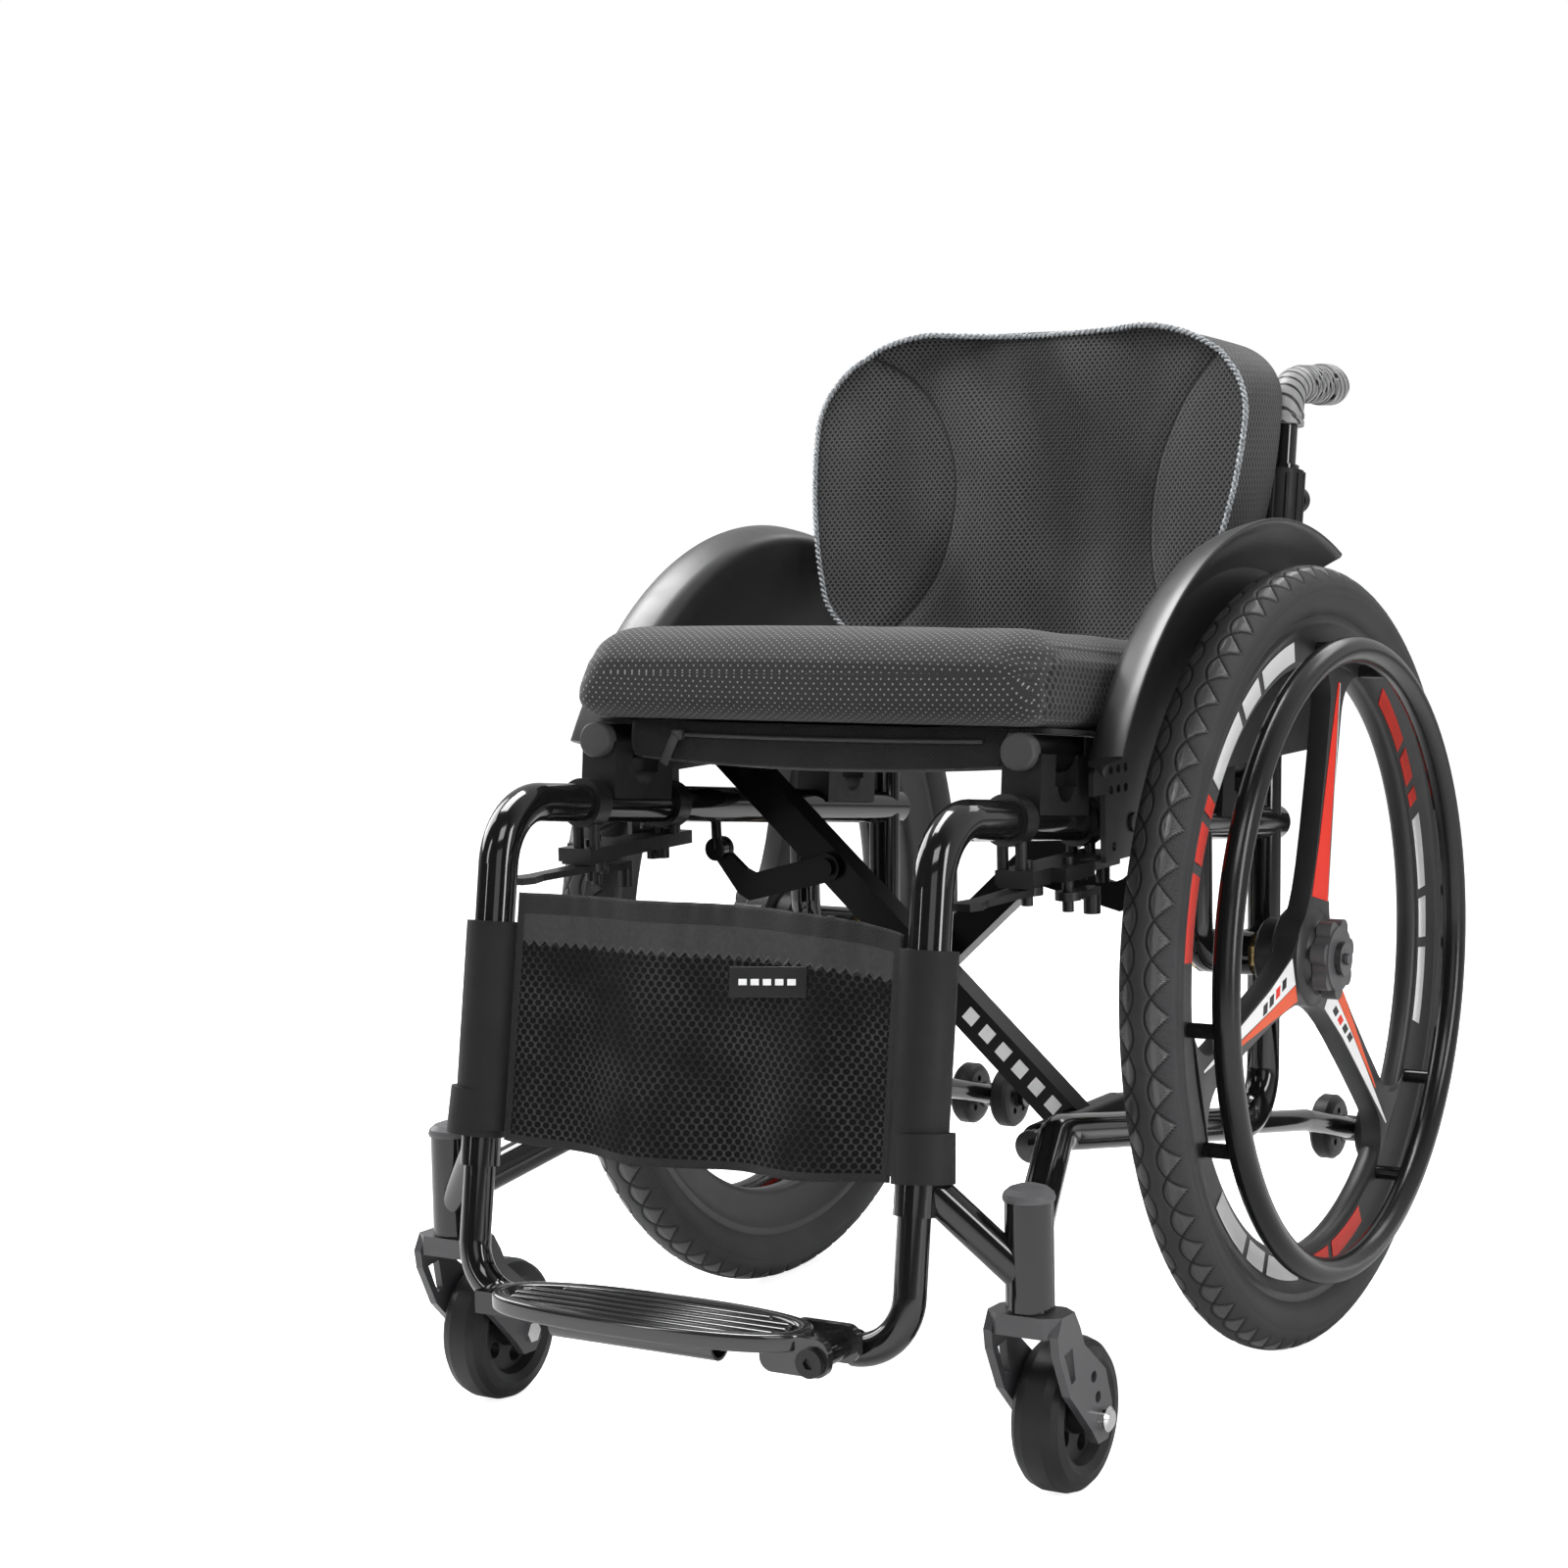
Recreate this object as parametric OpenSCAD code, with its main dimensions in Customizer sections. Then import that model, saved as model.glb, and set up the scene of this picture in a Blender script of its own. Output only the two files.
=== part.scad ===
// Folding sports wheelchair, open for use. Front faces -Y, left side is +X, floor is Z = 0.

/* [Wheels] */
// Outer radius of the rear tyre
wheel_r = 300; // [280:1:320]
// Thickness of the rear tyre
tyre_w = 44; // [36:1:48]
// Distance of each wheel from the middle plane
wheel_x = 237; // [230:1:245]
// Radius of the hand rim ring, to the middle of its tube
hand_rim_r = 236; // [230:1:242]
// Radius of the hand rim tube
hand_tube_r = 10; // [8:0.5:11]
// Turn of the three spokes
spoke_turn = 76; // [0:1:119]

/* [Casters] */
// Radius of the caster wheel
caster_r = 52; // [46:1:56]
// Width of the caster wheel
caster_w = 36; // [30:1:38]
// Distance of each caster stem from the middle plane
caster_x = 233; // [228:1:240]
// Trail from the stem to the caster axle
caster_trail = 49; // [42:1:54]

/* [Frame] */
// Distance of each side frame from the middle plane
rail_x = 174; // [170:1:178]
// Radius of the frame tubes
frame_r = 14; // [13:0.5:15]
// Slope of the seat rails, degrees down to the back
seat_slope = 6; // [4:0.5:7]
// Height of the seat rail corner at the front
rail_top = 451; // [445:1:457]
// Half spacing of the lower brace pivots
pivot_x = 128; // [122:1:132]
// Height of the lower brace pivots
pivot_z = 190; // [186:1:194]
// Width of the brace bars
bar_w = 26; // [22:1:28]
// Depth of the brace bars
bar_d = 22; // [18:1:22.5]

/* [Seat] */
// Radius of the seat tubes
seat_tube_r = 12.5; // [11.5:0.25:13]
// Thickness of the cushion at its crown
cushion_t = 66; // [50:1:75]
// Half width of the cushion
cushion_half = 192; // [175:1:194]
// Height of the top of the back pad
back_top = 788; // [770:1:800]

/* [Footplate] */
// Length of the footplate
plate_l = 244; // [220:2:250]
// Depth of the footplate
plate_d = 74; // [64:1:78]
// Height of the top of the footplate
plate_top = 134; // [133:0.5:140]

/* [Hidden] */
$fn = 48;
// The rear axle is at Y = y_shift, so that the whole chair is centred on the origin.
y_shift = 152.5;
axle_z = wheel_r;
rail_tan = tan(seat_slope);
corner_y = -467;
lean = 0.155;
gap = 0.4;
run = 0.05;
caster_y = -460;
function rail_z(y) = rail_top - (y - corner_y) * rail_tan;
function down_y(z) = corner_y - (rail_top - z) * lean;
// Seat tubes run parallel to the seat rails.
seat_rise = 46.6;
function seat_z(y) = rail_z(y) + seat_rise / cos(seat_slope);
bar_a_y = -170;
bar_b_y = bar_a_y + 24;
bar_top = seat_z((bar_a_y + bar_b_y) / 2);
bar_slope = (bar_top - pivot_z) / (pivot_x + rail_x);
cross_z = pivot_z + bar_slope * pivot_x;
bar_angle = atan(bar_slope);
low_y = -245;
lug_y = -100;
lower_tan = 0.168;
function lower_z(y) = 214 - (y + 300) * lower_tan;
upright_y = 78;
post_low = [rail_x, 80, 447];
post_top = post_low + [-0.5, 44, 241] * (back_top - 547) / 241;
post_dir = (post_top - post_low) / norm(post_top - post_low);
function on_post(z) = post_low + post_dir * (z - post_low[2]) / post_dir[2];
clamp_z = back_top - 138;
post_r = 12.5;
handle_r = 10;
foot_r = 11;
stub_z = 110;
hinge_x = 139;
hinge_z = 117;
plate_t = 12;
plate_y = -531 - plate_d / 2;
plate_x = hinge_x - 9 - plate_l / 2;
anti_y = 265;
anti_z = 110;
link_q_x = 172;
link_q_z = 387;
link_s_x = 76;
link_s_z = cross_z + bar_slope * link_s_x;

function unit(v) = v / norm(v);

module place() {
    translate([0, y_shift, 0]) children();
}

module flip() {
    mirror([1, 0, 0]) children();
}

// Straight round bar between two points.
module rod(p, q, r) {
    v = q - p;
    l = norm(v);
    translate(p) rotate([0, acos(v[2] / l), atan2(v[1], v[0])]) cylinder(h = l, r = r);
}

// Round bar along X, Y or Z.
module pin_x(x0, x1, y, z, r) {
    translate([x0, y, z]) rotate([0, 90, 0]) cylinder(h = x1 - x0, r = r);
}

module pin_y(x, y0, y1, z, r) {
    translate([x, y0, z]) rotate([-90, 0, 0]) cylinder(h = y1 - y0, r = r);
}

module pin_z(x, y, z0, z1, r) {
    translate([x, y, z0]) cylinder(h = z1 - z0, r = r);
}

module block(x0, x1, y0, y1, z0, z1) {
    translate([x0, y0, z0]) cube([x1 - x0, y1 - y0, z1 - z0]);
}

// Length that a bend takes from each straight at a corner.
function cut(a, b, c, bend) = bend * tan(acos(unit(b - a) * unit(c - b)) / 2);

// Round bend at corner b between the straights a to b and b to c.
module elbow(a, b, c, r, bend) {
    d = unit(b - a);
    e = unit(c - b);
    turn = acos(d * e);
    n = unit(e - d * (d * e));
    o = b - d * cut(a, b, c, bend) + n * bend;
    w = cross(-n, d);
    multmatrix([[-n[0], d[0], w[0], o[0]], [-n[1], d[1], w[1], o[1]], [-n[2], d[2], w[2], o[2]]])
        rotate_extrude(angle = turn, $fn = 96) translate([bend, 0]) circle(r = r + 0.08);
}

// Bent round tube through the points, one bend radius at each inner corner.
module bent(p, r, bend) {
    n = len(p);
    for (i = [0 : n - 2]) {
        d = unit(p[i + 1] - p[i]);
        s = i == 0 ? 0 : cut(p[i - 1], p[i], p[i + 1], bend[i - 1]) - 1;
        e = i == n - 2 ? 0 : cut(p[i], p[i + 1], p[i + 2], bend[i]) - 1;
        rod(p[i] + d * s, p[i + 1] - d * e, r);
    }
    for (i = [1 : n - 2]) elbow(p[i - 1], p[i], p[i + 1], r, bend[i - 1]);
}

// Local frame on the left seat rail at y, with Y along the rail.
module on_rail(y) {
    translate([rail_x, y, rail_z(y)]) rotate([-seat_slope, 0, 0]) children();
}

down_low = [rail_x, down_y(199), 199];
corner = [rail_x, corner_y, rail_top];
rail_end = [rail_x, 98, rail_z(98)];

module side_frame() {
    color([0.05, 0.05, 0.055]) difference() {
        union() {
            bent([rail_end, corner, down_low], frame_r, [46]);
            bent([[caster_x - 6, -452, 168], [rail_x, -300, 214], [rail_x, 70, lower_z(70)],
                post_low, on_post(back_top - 112)], 13, [44, 40, 90]);
            bent([[rail_x, -56, rail_z(-56)], [rail_x, -56, axle_z], [rail_x, 74, axle_z]], 12, [30]);
            rod([rail_x, down_y(222) + 4, 222], [caster_x, caster_y, 152], 12);
            pin_z(caster_x, caster_y, 134.5, 206, 16);
            pin_x(153, 199, 0, axle_z, 17);
            // Lugs and spindle of the lower brace pivot
            rod([pivot_x, low_y, pivot_z], [rail_x, low_y, lower_z(low_y)], 8);
            rod([pivot_x, lug_y, pivot_z], [rail_x, lug_y, lower_z(lug_y)], 8);
            pin_y(pivot_x, low_y - 6, low_y + 8, pivot_z, 12);
            pin_y(pivot_x, lug_y - 8, lug_y + 6, pivot_z, 12);
            pin_y(pivot_x, low_y, lug_y, pivot_z, 8);
        }
        rod([rail_x, down_y(160), 160], [rail_x, down_y(330), 330], foot_r + run);
        rod(on_post(480), on_post(back_top - 98), handle_r + run);
        pin_z(caster_x, caster_y, 120, 190, 8 + run);
        pin_x(140, 210, 0, axle_z, 9 + run);
        rod([rail_x, 10, lower_z(10)], [rail_x, 200, lower_z(200)], 9 + run);
    }
}

// Lug under the seat rail that carries the outer end of the fold link.
module link_lug(y0, y1) {
    rod([rail_x - 1, (y0 + y1) / 2, rail_z(-160)], [link_q_x, (y0 + y1) / 2, link_q_z], 4);
    pin_y(link_q_x, y0, y1, link_q_z, 9);
}

module left_side_frame() {
    side_frame();
    color([0.05, 0.05, 0.055]) link_lug(-128.4, -121);
    color([0.05, 0.05, 0.055]) pin_y(link_q_x, -134.6, -125, link_q_z, 4);
}

module right_side_frame() {
    flip() side_frame();
    color([0.05, 0.05, 0.055]) flip() link_lug(-195, -187.6);
    color([0.05, 0.05, 0.055]) flip() pin_y(link_q_x, -191, -181.6, link_q_z, 4);
}

// Plastic H block on the seat rail with a cradle for the seat tube.
module saddle(y) {
    on_rail(y) difference() {
        union() {
            block(-15, 15, -38, 38, 0, 24);
            block(-15, 15, -38, -16, 20, seat_rise - 1);
            block(-15, 15, 18, 38, 20, seat_rise - 1);
            block(9, 15, 30, 38, 40, seat_rise + 12);
        }
        pin_y(0, -60, 60, 0, frame_r + run);
        pin_y(0, -60, 60, seat_rise, seat_tube_r + gap);
        block(-seat_tube_r - 2 * gap, seat_tube_r + 2 * gap, -60, 60, seat_rise, seat_rise + 40);
        block(-30, 30, -60, 60, -30, 4);
        pin_x(-30, 30, 1, 26, 13);
    }
}

module saddles() {
    color([0.09, 0.09, 0.09]) saddle(-312);
    color([0.09, 0.09, 0.09]) saddle(-4);
}

// Side guard: flat panel inside the wheel with an outward lip over the tyre.
guard_r = wheel_r + 19;
guard_y = -30;
guard_up = 17;
guard_x = rail_x + 23;
module guard_lip(a0, a1) {
    translate([0, guard_y, axle_z + guard_up]) rotate([90, 0, 90]) rotate([0, 0, a0])
        rotate_extrude(angle = a1 - a0, $fn = 96)
            polygon([[guard_r - 36, guard_x], [guard_r - 16, guard_x], [guard_r - 10, guard_x + 3],
                [guard_r - 6, guard_x + 10], [guard_r - 2, guard_x + 22], [guard_r, guard_x + 31],
                [guard_r - 1, guard_x + 32], [guard_r - 3, guard_x + 31], [guard_r - 7, guard_x + 24.5],
                [guard_r - 12, guard_x + 17], [guard_r - 18, guard_x + 10.8], [guard_r - 25, guard_x + 6.6],
                [guard_r - 31, guard_x + 4.7], [guard_r - 36, guard_x + 4]]);
}

module mudguard() {
    color([0.07, 0.07, 0.07]) difference() {
        union() {
            guard_lip(65, 149);
            intersection() {
                pin_x(guard_x, guard_x + 4, guard_y, axle_z + guard_up, guard_r - 20);
                block(guard_x - 1, guard_x + 5, -290, 118, 450, 640);
            }
            block(guard_x, guard_x + 4, -272, -205, 402, 470);
            pin_x(rail_x + 8, guard_x + 6, -226, rail_z(-226), 7);
            pin_x(rail_x + 8, guard_x + 6, on_post(492)[1], 492, 7);
        }
        rod(rail_end, corner, frame_r + run);
        rod(on_post(460), on_post(520), 13 + run);
        for (i = [0 : 2]) for (j = [0 : 1])
            pin_x(guard_x - 1, guard_x + 5, -262 + 12 * i, 452 + 14 * j, 3.2);
        pin_x(guard_x - 1, guard_x + 5, -258, 412, 3.4);
    }
}

module post_clamp() {
    color([0.06, 0.06, 0.06]) difference() {
        union() {
            rod(on_post(clamp_z - 22), on_post(clamp_z + 22), 17);
            for (i = [0 : 9]) rod(on_post(clamp_z - 22) + 17 * [sin(i * 36), cos(i * 36), 0],
                on_post(clamp_z + 20) + 17 * [sin(i * 36), cos(i * 36), 0], 1.6);
            pin_y(on_post(clamp_z)[0], on_post(clamp_z)[1] + 10, on_post(clamp_z)[1] + 27, clamp_z - 2, 6);
            pin_y(on_post(clamp_z)[0], on_post(clamp_z)[1] + 25, on_post(clamp_z)[1] + 35, clamp_z - 2, 11);
        }
        rod(on_post(clamp_z - 50), on_post(clamp_z + 50), 13 + run);
    }
}

brake_p = [180, -352];
shoe_p = [196, -322];
shoe_l = 37.5;
module brake_mount() {
    color([0.08, 0.08, 0.08]) difference() {
        union() {
            block(166, 195, -372, -236, 397, 407);
            block(166, 206, -345, -300, 397, 407);
            block(168, 192, -372, -340, 395, 398);
            for (y = [-364, -258]) {
                on_rail(y) pin_y(0, -8, 8, 0, frame_r + 4);
                pin_z(rail_x - 6, y, 406, rail_z(y) - 13, 4);
                pin_z(rail_x + 8, y, 406, rail_z(y) - 13, 4);
            }
            pin_z(brake_p[0], brake_p[1], 381, 412, 4);
            pin_z(shoe_p[0], shoe_p[1], 374, 412, 4);
            pin_z(176, -262, 388, 398, 5);
            pin_z(190, -254, 386, 398, 5);
        }
        rod(rail_end, corner, frame_r + run);
    }
}

module brake_lever() {
    color([0.1, 0.1, 0.1]) difference() {
        union() {
            pin_z(brake_p[0], brake_p[1], 388.5, 394.5, 11);
            translate([0, 0, 389]) linear_extrude(5)
                polygon([[171, -352], [189, -352], [186, -420], [190, -436], [186, -446], [174, -446],
                    [170, -436], [174, -420]]);
        }
        pin_z(brake_p[0], brake_p[1], 380, 400, 4 + run);
    }
}

module brake_shoe() {
    color([0.1, 0.1, 0.1]) difference() {
        union() {
            pin_z(shoe_p[0], shoe_p[1], 382, 388, 9);
            block(shoe_p[0] - 6, shoe_p[0] + 6, shoe_p[1], shoe_p[1] + shoe_l, 382, 387);
            pin_z(shoe_p[0], shoe_p[1] + shoe_l, 368, 387, 6);
        }
        pin_z(shoe_p[0], shoe_p[1], 376, 392, 4 + run);
    }
}

// Footrest tube that slides in the open lower end of the front tube.
foot_corner = [rail_x, down_y(stub_z), stub_z];
module foot_tube(x_end) {
    color([0.05, 0.05, 0.055])
        bent([[rail_x, down_y(325), 325], foot_corner, [x_end, down_y(stub_z), stub_z]], foot_r, [38]);
}

module left_footrest_tube() {
    foot_tube(hinge_x - 4);
    color([0.05, 0.05, 0.055]) pin_y(hinge_x, plate_y - 12, down_y(stub_z), hinge_z, 7);
}

module right_footrest_tube() {
    flip() foot_tube(130);
    color([0.06, 0.06, 0.06]) block(-150, -92, plate_y + 20, down_y(stub_z), stub_z - 4,
        plate_top - plate_t - gap);
}

module front_sleeve() {
    color([0.11, 0.11, 0.11]) difference() {
        union() {
            rod([rail_x, down_y(224), 224], [rail_x, down_y(368), 368], 19.5);
            rod([rail_x + 5, down_y(220), 220], [rail_x + 3, down_y(252), 252], 21);
        }
        rod([rail_x, down_y(180), 180], [rail_x, down_y(390), 390], frame_r + run);
        rod([rail_x, down_y(222) + 4, 222], [caster_x, caster_y, 152], 12 + gap);
    }
}

// Threaded receiver for the wheel axle, with a nut at each end.
module axle_mount() {
    color([0.72, 0.6, 0.4]) difference() {
        union() {
            pin_x(147, 204, 0, axle_z, 9);
            translate([147, 0, axle_z]) rotate([0, 90, 0]) cylinder(h = 5.8, r = 15, $fn = 6);
            translate([199.2, 0, axle_z]) rotate([0, 90, 0]) cylinder(h = 4.8, r = 15, $fn = 6);
        }
        pin_x(140, 210, 0, axle_z, 6.35 + run);
    }
}

module antitip_tube() {
    y1 = 160;
    color([0.05, 0.05, 0.055]) {
        bent([[rail_x, 14, lower_z(14)], [rail_x, y1, lower_z(y1)], [rail_x, anti_y, anti_z]], 9, [40]);
        pin_x(rail_x - 35, rail_x + 35, anti_y, anti_z, 5);
        pin_x(rail_x - 7, rail_x + 7, anti_y, anti_z, 11);
        pin_x(rail_x - 37, rail_x - 31.6, anti_y, anti_z, 8);
        pin_x(rail_x + 31.6, rail_x + 37, anti_y, anti_z, 8);
    }
}

module antitip_wheels() {
    color([0.12, 0.12, 0.12]) for (s = [-1, 1]) difference() {
        translate([rail_x + 20.2 * s, anti_y, anti_z]) rotate([0, 90, 0]) rotate_extrude($fn = 64)
            polygon([[5 + run, -11], [9, -11], [9, -9], [21, -9], [25, -8], [27.5, -5], [27.5, 5], [25, 8],
                [21, 9], [9, 9], [9, 11], [5 + run, 11]]);
        for (i = [0 : 4]) translate([rail_x + 20.2 * s, anti_y, anti_z]) rotate([i * 72, 0, 0])
            pin_x(-20, 20, 0, 14, 3);
    }
}

module caster_cap() {
    color([0.3, 0.3, 0.3]) translate([caster_x, caster_y, 206.1]) rotate_extrude($fn = 64)
        polygon([[0, 0], [17, 0], [17.5, 2], [16.5, 5], [13, 8], [7, 10], [0, 10.6]]);
}

module ring(r, t) {
    rotate([90, 0, 90]) rotate_extrude($fn = 144) translate([r, 0]) circle(r = t);
}

module tyre() {
    color([0.13, 0.13, 0.13]) difference() {
        translate([wheel_x, 0, axle_z]) ring(wheel_r - tyre_w / 2, tyre_w / 2);
        pin_x(wheel_x - 40, wheel_x + 40, 0, axle_z, wheel_r - 37 + run);
    }
}

rim_out = wheel_r - 37;
rim_in = wheel_r - 76;
module mag_wheel() {
    color([0.07, 0.07, 0.075]) difference() {
        translate([wheel_x, 0, axle_z]) rotate([90, 0, 90]) {
            rotate_extrude($fn = 144) polygon([[rim_out, -15], [rim_out, 15], [rim_out - 7, 15],
                [rim_out - 18, 9], [rim_in + 6, 8.6], [rim_in, 6], [rim_in, -6], [rim_in + 6, -8.6],
                [rim_out - 18, -9], [rim_out - 7, -15]]);
            for (i = [0 : 2]) rotate([0, 0, spoke_turn + 120 * i]) translate([0, 0, -7])
                linear_extrude(17) polygon([[8, -25], [40, -19], [90, -13.5], [185, -11.5], [210, -17],
                    [rim_in + 3, -38], [rim_in + 3, 38], [210, 17], [185, 11.5], [90, 13.5], [40, 19],
                    [8, 25]]);
            translate([0, 0, -29]) cylinder(h = 46.4, r = 29);
            translate([0, 0, -12]) cylinder(h = 26, r = 38);
        }
        pin_x(200, 280, 0, axle_z, 6.35 + run);
    }
}

module hand_rim() {
    x = wheel_x + 38;
    color([0.06, 0.06, 0.06]) {
        translate([x, 0, axle_z]) ring(hand_rim_r, hand_tube_r);
        for (i = [0 : 2]) for (s = [-1, 1]) translate([0, 0, axle_z])
            rotate([spoke_turn + 120 * i + 11.5 * s, 0, 0])
                rod([wheel_x + 9.15, rim_in + 12, 0], [x - 3, hand_rim_r, 0], 5.5);
    }
}

module hub_knob() {
    x = wheel_x + 17.5;
    color([0.06, 0.06, 0.06]) difference() {
        union() {
            pin_x(x, x + 13, 0, axle_z, 25);
            for (i = [0 : 6]) translate([0, 0, axle_z]) rotate([i * 360 / 7 + 11, 0, 0])
                pin_x(x + 0.6, x + 12, 23.5, 0, 8);
        }
        pin_x(x - 1, x + 20, 0, axle_z, 6.35 + run);
    }
}

module axle() {
    x = wheel_x + 31;
    color([0.6, 0.6, 0.62]) difference() {
        union() {
            pin_x(150, x + 2, 0, axle_z, 6.35);
            pin_x(x, x + 4.5, 0, axle_z, 13);
        }
        pin_x(x - 8, x + 10, 0, axle_z, 4.5 + run);
    }
}

module axle_button() {
    x = wheel_x + 31;
    color([0.2, 0.2, 0.2]) pin_x(x - 4, x + 7, 0, axle_z, 4.5);
}

caster_ay = caster_y + caster_trail;
module fork_leg(x0) {
    translate([x0, 0, 0]) rotate([90, 0, 90]) linear_extrude(6)
        polygon([[caster_y - 8, 133], [caster_y + 10, 133], [caster_y + 18, 121], [caster_y + 24, 108],
            [caster_ay + 6, 84], [caster_ay + 15, 60], [caster_ay + 15, 44], [caster_ay + 8, 36],
            [caster_ay - 6, 36], [caster_ay - 16, 48], [caster_y + 2, 78], [caster_y - 13, 108],
            [caster_y - 15, 121]]);
}

module caster_fork() {
    half = caster_w / 2 + 3;
    color([0.06, 0.06, 0.065]) difference() {
        union() {
            pin_z(caster_x, caster_y, 120, 188, 8);
            translate([caster_x, caster_y, 119]) linear_extrude(14) polygon([[-half - 5.9, -8],
                [-half + 4, -16], [half - 4, -16], [half + 5.9, -8], [half + 5.9, 10], [half - 4, 18],
                [-half + 4, 18], [-half - 5.9, 10]]);
            pin_z(caster_x, caster_y, 132, 134, 12);
            fork_leg(caster_x - half - 6);
            fork_leg(caster_x + half);
        }
        pin_x(caster_x - 40, caster_x + 40, caster_ay, caster_r, 4 + run);
        pin_x(caster_x - 40, caster_x + 40, caster_ay - 6, caster_r + 16, 4);
        pin_x(caster_x - 40, caster_x + 40, caster_ay - 12, caster_r + 31, 4);
        translate([caster_x - 40, 0, 0]) rotate([90, 0, 90]) linear_extrude(80)
            polygon([[caster_y - 6, 108], [caster_y + 6, 110], [caster_y + 10, 88], [caster_y + 4, 86]]);
    }
}

module caster_wheel() {
    w = caster_w / 2;
    color([0.15, 0.15, 0.15]) translate([caster_x, caster_ay, caster_r]) rotate([90, 0, 90])
        difference() {
            rotate_extrude($fn = 96) polygon([[4 + run, -w - 2], [11, -w - 2], [13, -8], [30, -8],
                [33, -w + 3], [39, -w], [46, -w + 1], [50, -w + 5], [caster_r, -w + 11],
                [caster_r, w - 11], [50, w - 5], [46, w - 1], [39, w], [33, w - 3], [30, 8], [13, 8],
                [11, w + 2], [4 + run, w + 2]]);
            for (i = [0 : 4]) rotate([0, 0, 72 * i]) translate([21.5, 0, -20]) cylinder(h = 40, r = 6);
        }
}

module caster_axle() {
    half = caster_w / 2 + 9;
    color([0.75, 0.75, 0.76]) translate([caster_x, caster_ay, caster_r]) rotate([90, 0, 90]) {
        translate([0, 0, -half - 4]) cylinder(h = 2 * half + 8, r = 4);
        translate([0, 0, half + 0.1]) cylinder(h = 5, r = 8.5);
        translate([0, 0, half + 5.1]) cylinder(h = 2, r1 = 8.5, r2 = 6);
        translate([0, 0, -half - 5.1]) cylinder(h = 5, r = 8, $fn = 6);
    }
}

grip_turn = on_post(back_top - 47);
grip_end = [grip_turn[0], grip_turn[1] + 88.33, back_top - 46];
module handle_post() {
    color([0.05, 0.05, 0.055]) bent([on_post(562), grip_turn, grip_end], handle_r, [24]);
}

module push_grip() {
    d = unit(grip_end - grip_turn);
    color([0.35, 0.35, 0.35]) difference() {
        union() {
            bent([on_post(back_top - 80), grip_turn, grip_end - d * 12], 14, [24]);
            for (i = [0 : 1]) rod(on_post(back_top - 80 + 6 * i), on_post(back_top - 76.5 + 6 * i), 14.8);
            for (i = [0 : 5]) rod(grip_turn + d * (26 + 7 * i), grip_turn + d * (30 + 7 * i), 15.6);
            rod(grip_end - d * 20, grip_end + d * 4, 17);
        }
        bent([on_post(back_top - 98), grip_turn, grip_end + d * 0.3], handle_r + run, [24]);
        translate(grip_end + d * 8) rotate([24, 0, 0]) block(-20, 20, -5, 20, -40, 40);
    }
}

// Bent flat link between the seat rail and a brace bar, drawn for the left side.
module link_plate(y0, y1, y_head) {
    color([0.06, 0.06, 0.06]) difference() {
        union() {
            translate([0, y1, 0]) rotate([90, 0, 0]) linear_extrude(y1 - y0) {
                polygon([[link_q_x - 9, link_q_z - 3], [link_q_x + 8, link_q_z - 4], [156, 352],
                    [146, 347], [link_s_x - 2, link_s_z - 11], [link_s_x - 2, link_s_z + 11],
                    [142, 369], [149, 372]]);
            }
            pin_y(link_q_x, y0, y1, link_q_z, 9.5);
            pin_y(link_s_x, y0, y1, link_s_z, 11);
            pin_y(link_s_x, min(y0, y_head), max(y1, y_head), link_s_z, 7);
        }
        pin_y(link_q_x, y0 - 5, y1 + 5, link_q_z, 4 + run);
    }
}

module left_fold_link() {
    link_plate(-134, -129, -125);
}

module right_fold_link() {
    flip() link_plate(-187, -182, -191);
}

// Seat tube with its round end cap, on the left side.
module seat_tube(y_mid) {
    y0 = -342;
    y1 = 34;
    rod([rail_x, y0, seat_z(y0)], [rail_x, y1, seat_z(y1)], seat_tube_r);
    d = unit([0, y1 - y0, seat_z(y1) - seat_z(y0)]);
    p = [rail_x, y0, seat_z(y0)];
    rod(p - d * 9, p + d, seat_tube_r + 0.3);
    rod(p - d * 11, p - d * 8, seat_tube_r - 1.2);
    rod([rail_x, y1, seat_z(y1)] - d, [rail_x, y1, seat_z(y1)] + d * 6, seat_tube_r + 0.3);
}

// Brace bar from the right pivot up to the left seat tube, with its sleeve on the pivot.
module bar(y) {
    l = (pivot_x + rail_x) / cos(bar_angle);
    difference() {
        union() {
            translate([-pivot_x, y, pivot_z]) rotate([0, -bar_angle, 0])
                block(4, l - 6, -bar_d / 2, bar_d / 2, -bar_w / 2, bar_w / 2);
            pin_y(-pivot_x, low_y + 8.4, lug_y - 8.4, pivot_z, bar_w / 2 + 1.5);
            seat_tube(y);
        }
        pin_y(-pivot_x, low_y, lug_y, pivot_z, 8 + run);
        pin_y(0, y - 40, y + 40, cross_z, 6 + run);
    }
}

module brace_a() {
    color([0.05, 0.05, 0.055]) flip() bar(bar_a_y);
}

module brace_b() {
    color([0.05, 0.05, 0.055]) bar(bar_b_y);
}

module brace_pivot() {
    y0 = bar_a_y - bar_d / 2 - 0.1;
    y1 = bar_b_y + bar_d / 2 + 0.5;
    color([0.3, 0.3, 0.3]) {
        pin_y(0, y0 - 2, y1 + 7, cross_z, 6);
        pin_y(0, y0 - 4, y0, cross_z, 11);
        translate([0, y1, cross_z]) rotate([-90, 0, 0]) cylinder(h = 6, r = 11, $fn = 6);
    }
}

function oval(a, b, p, n) = [for (i = [0 : n - 1]) let (t = 360 * i / n)
    [a * sign(cos(t)) * pow(abs(cos(t)), p), b * sign(sin(t)) * pow(abs(sin(t)), p)]];

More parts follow.
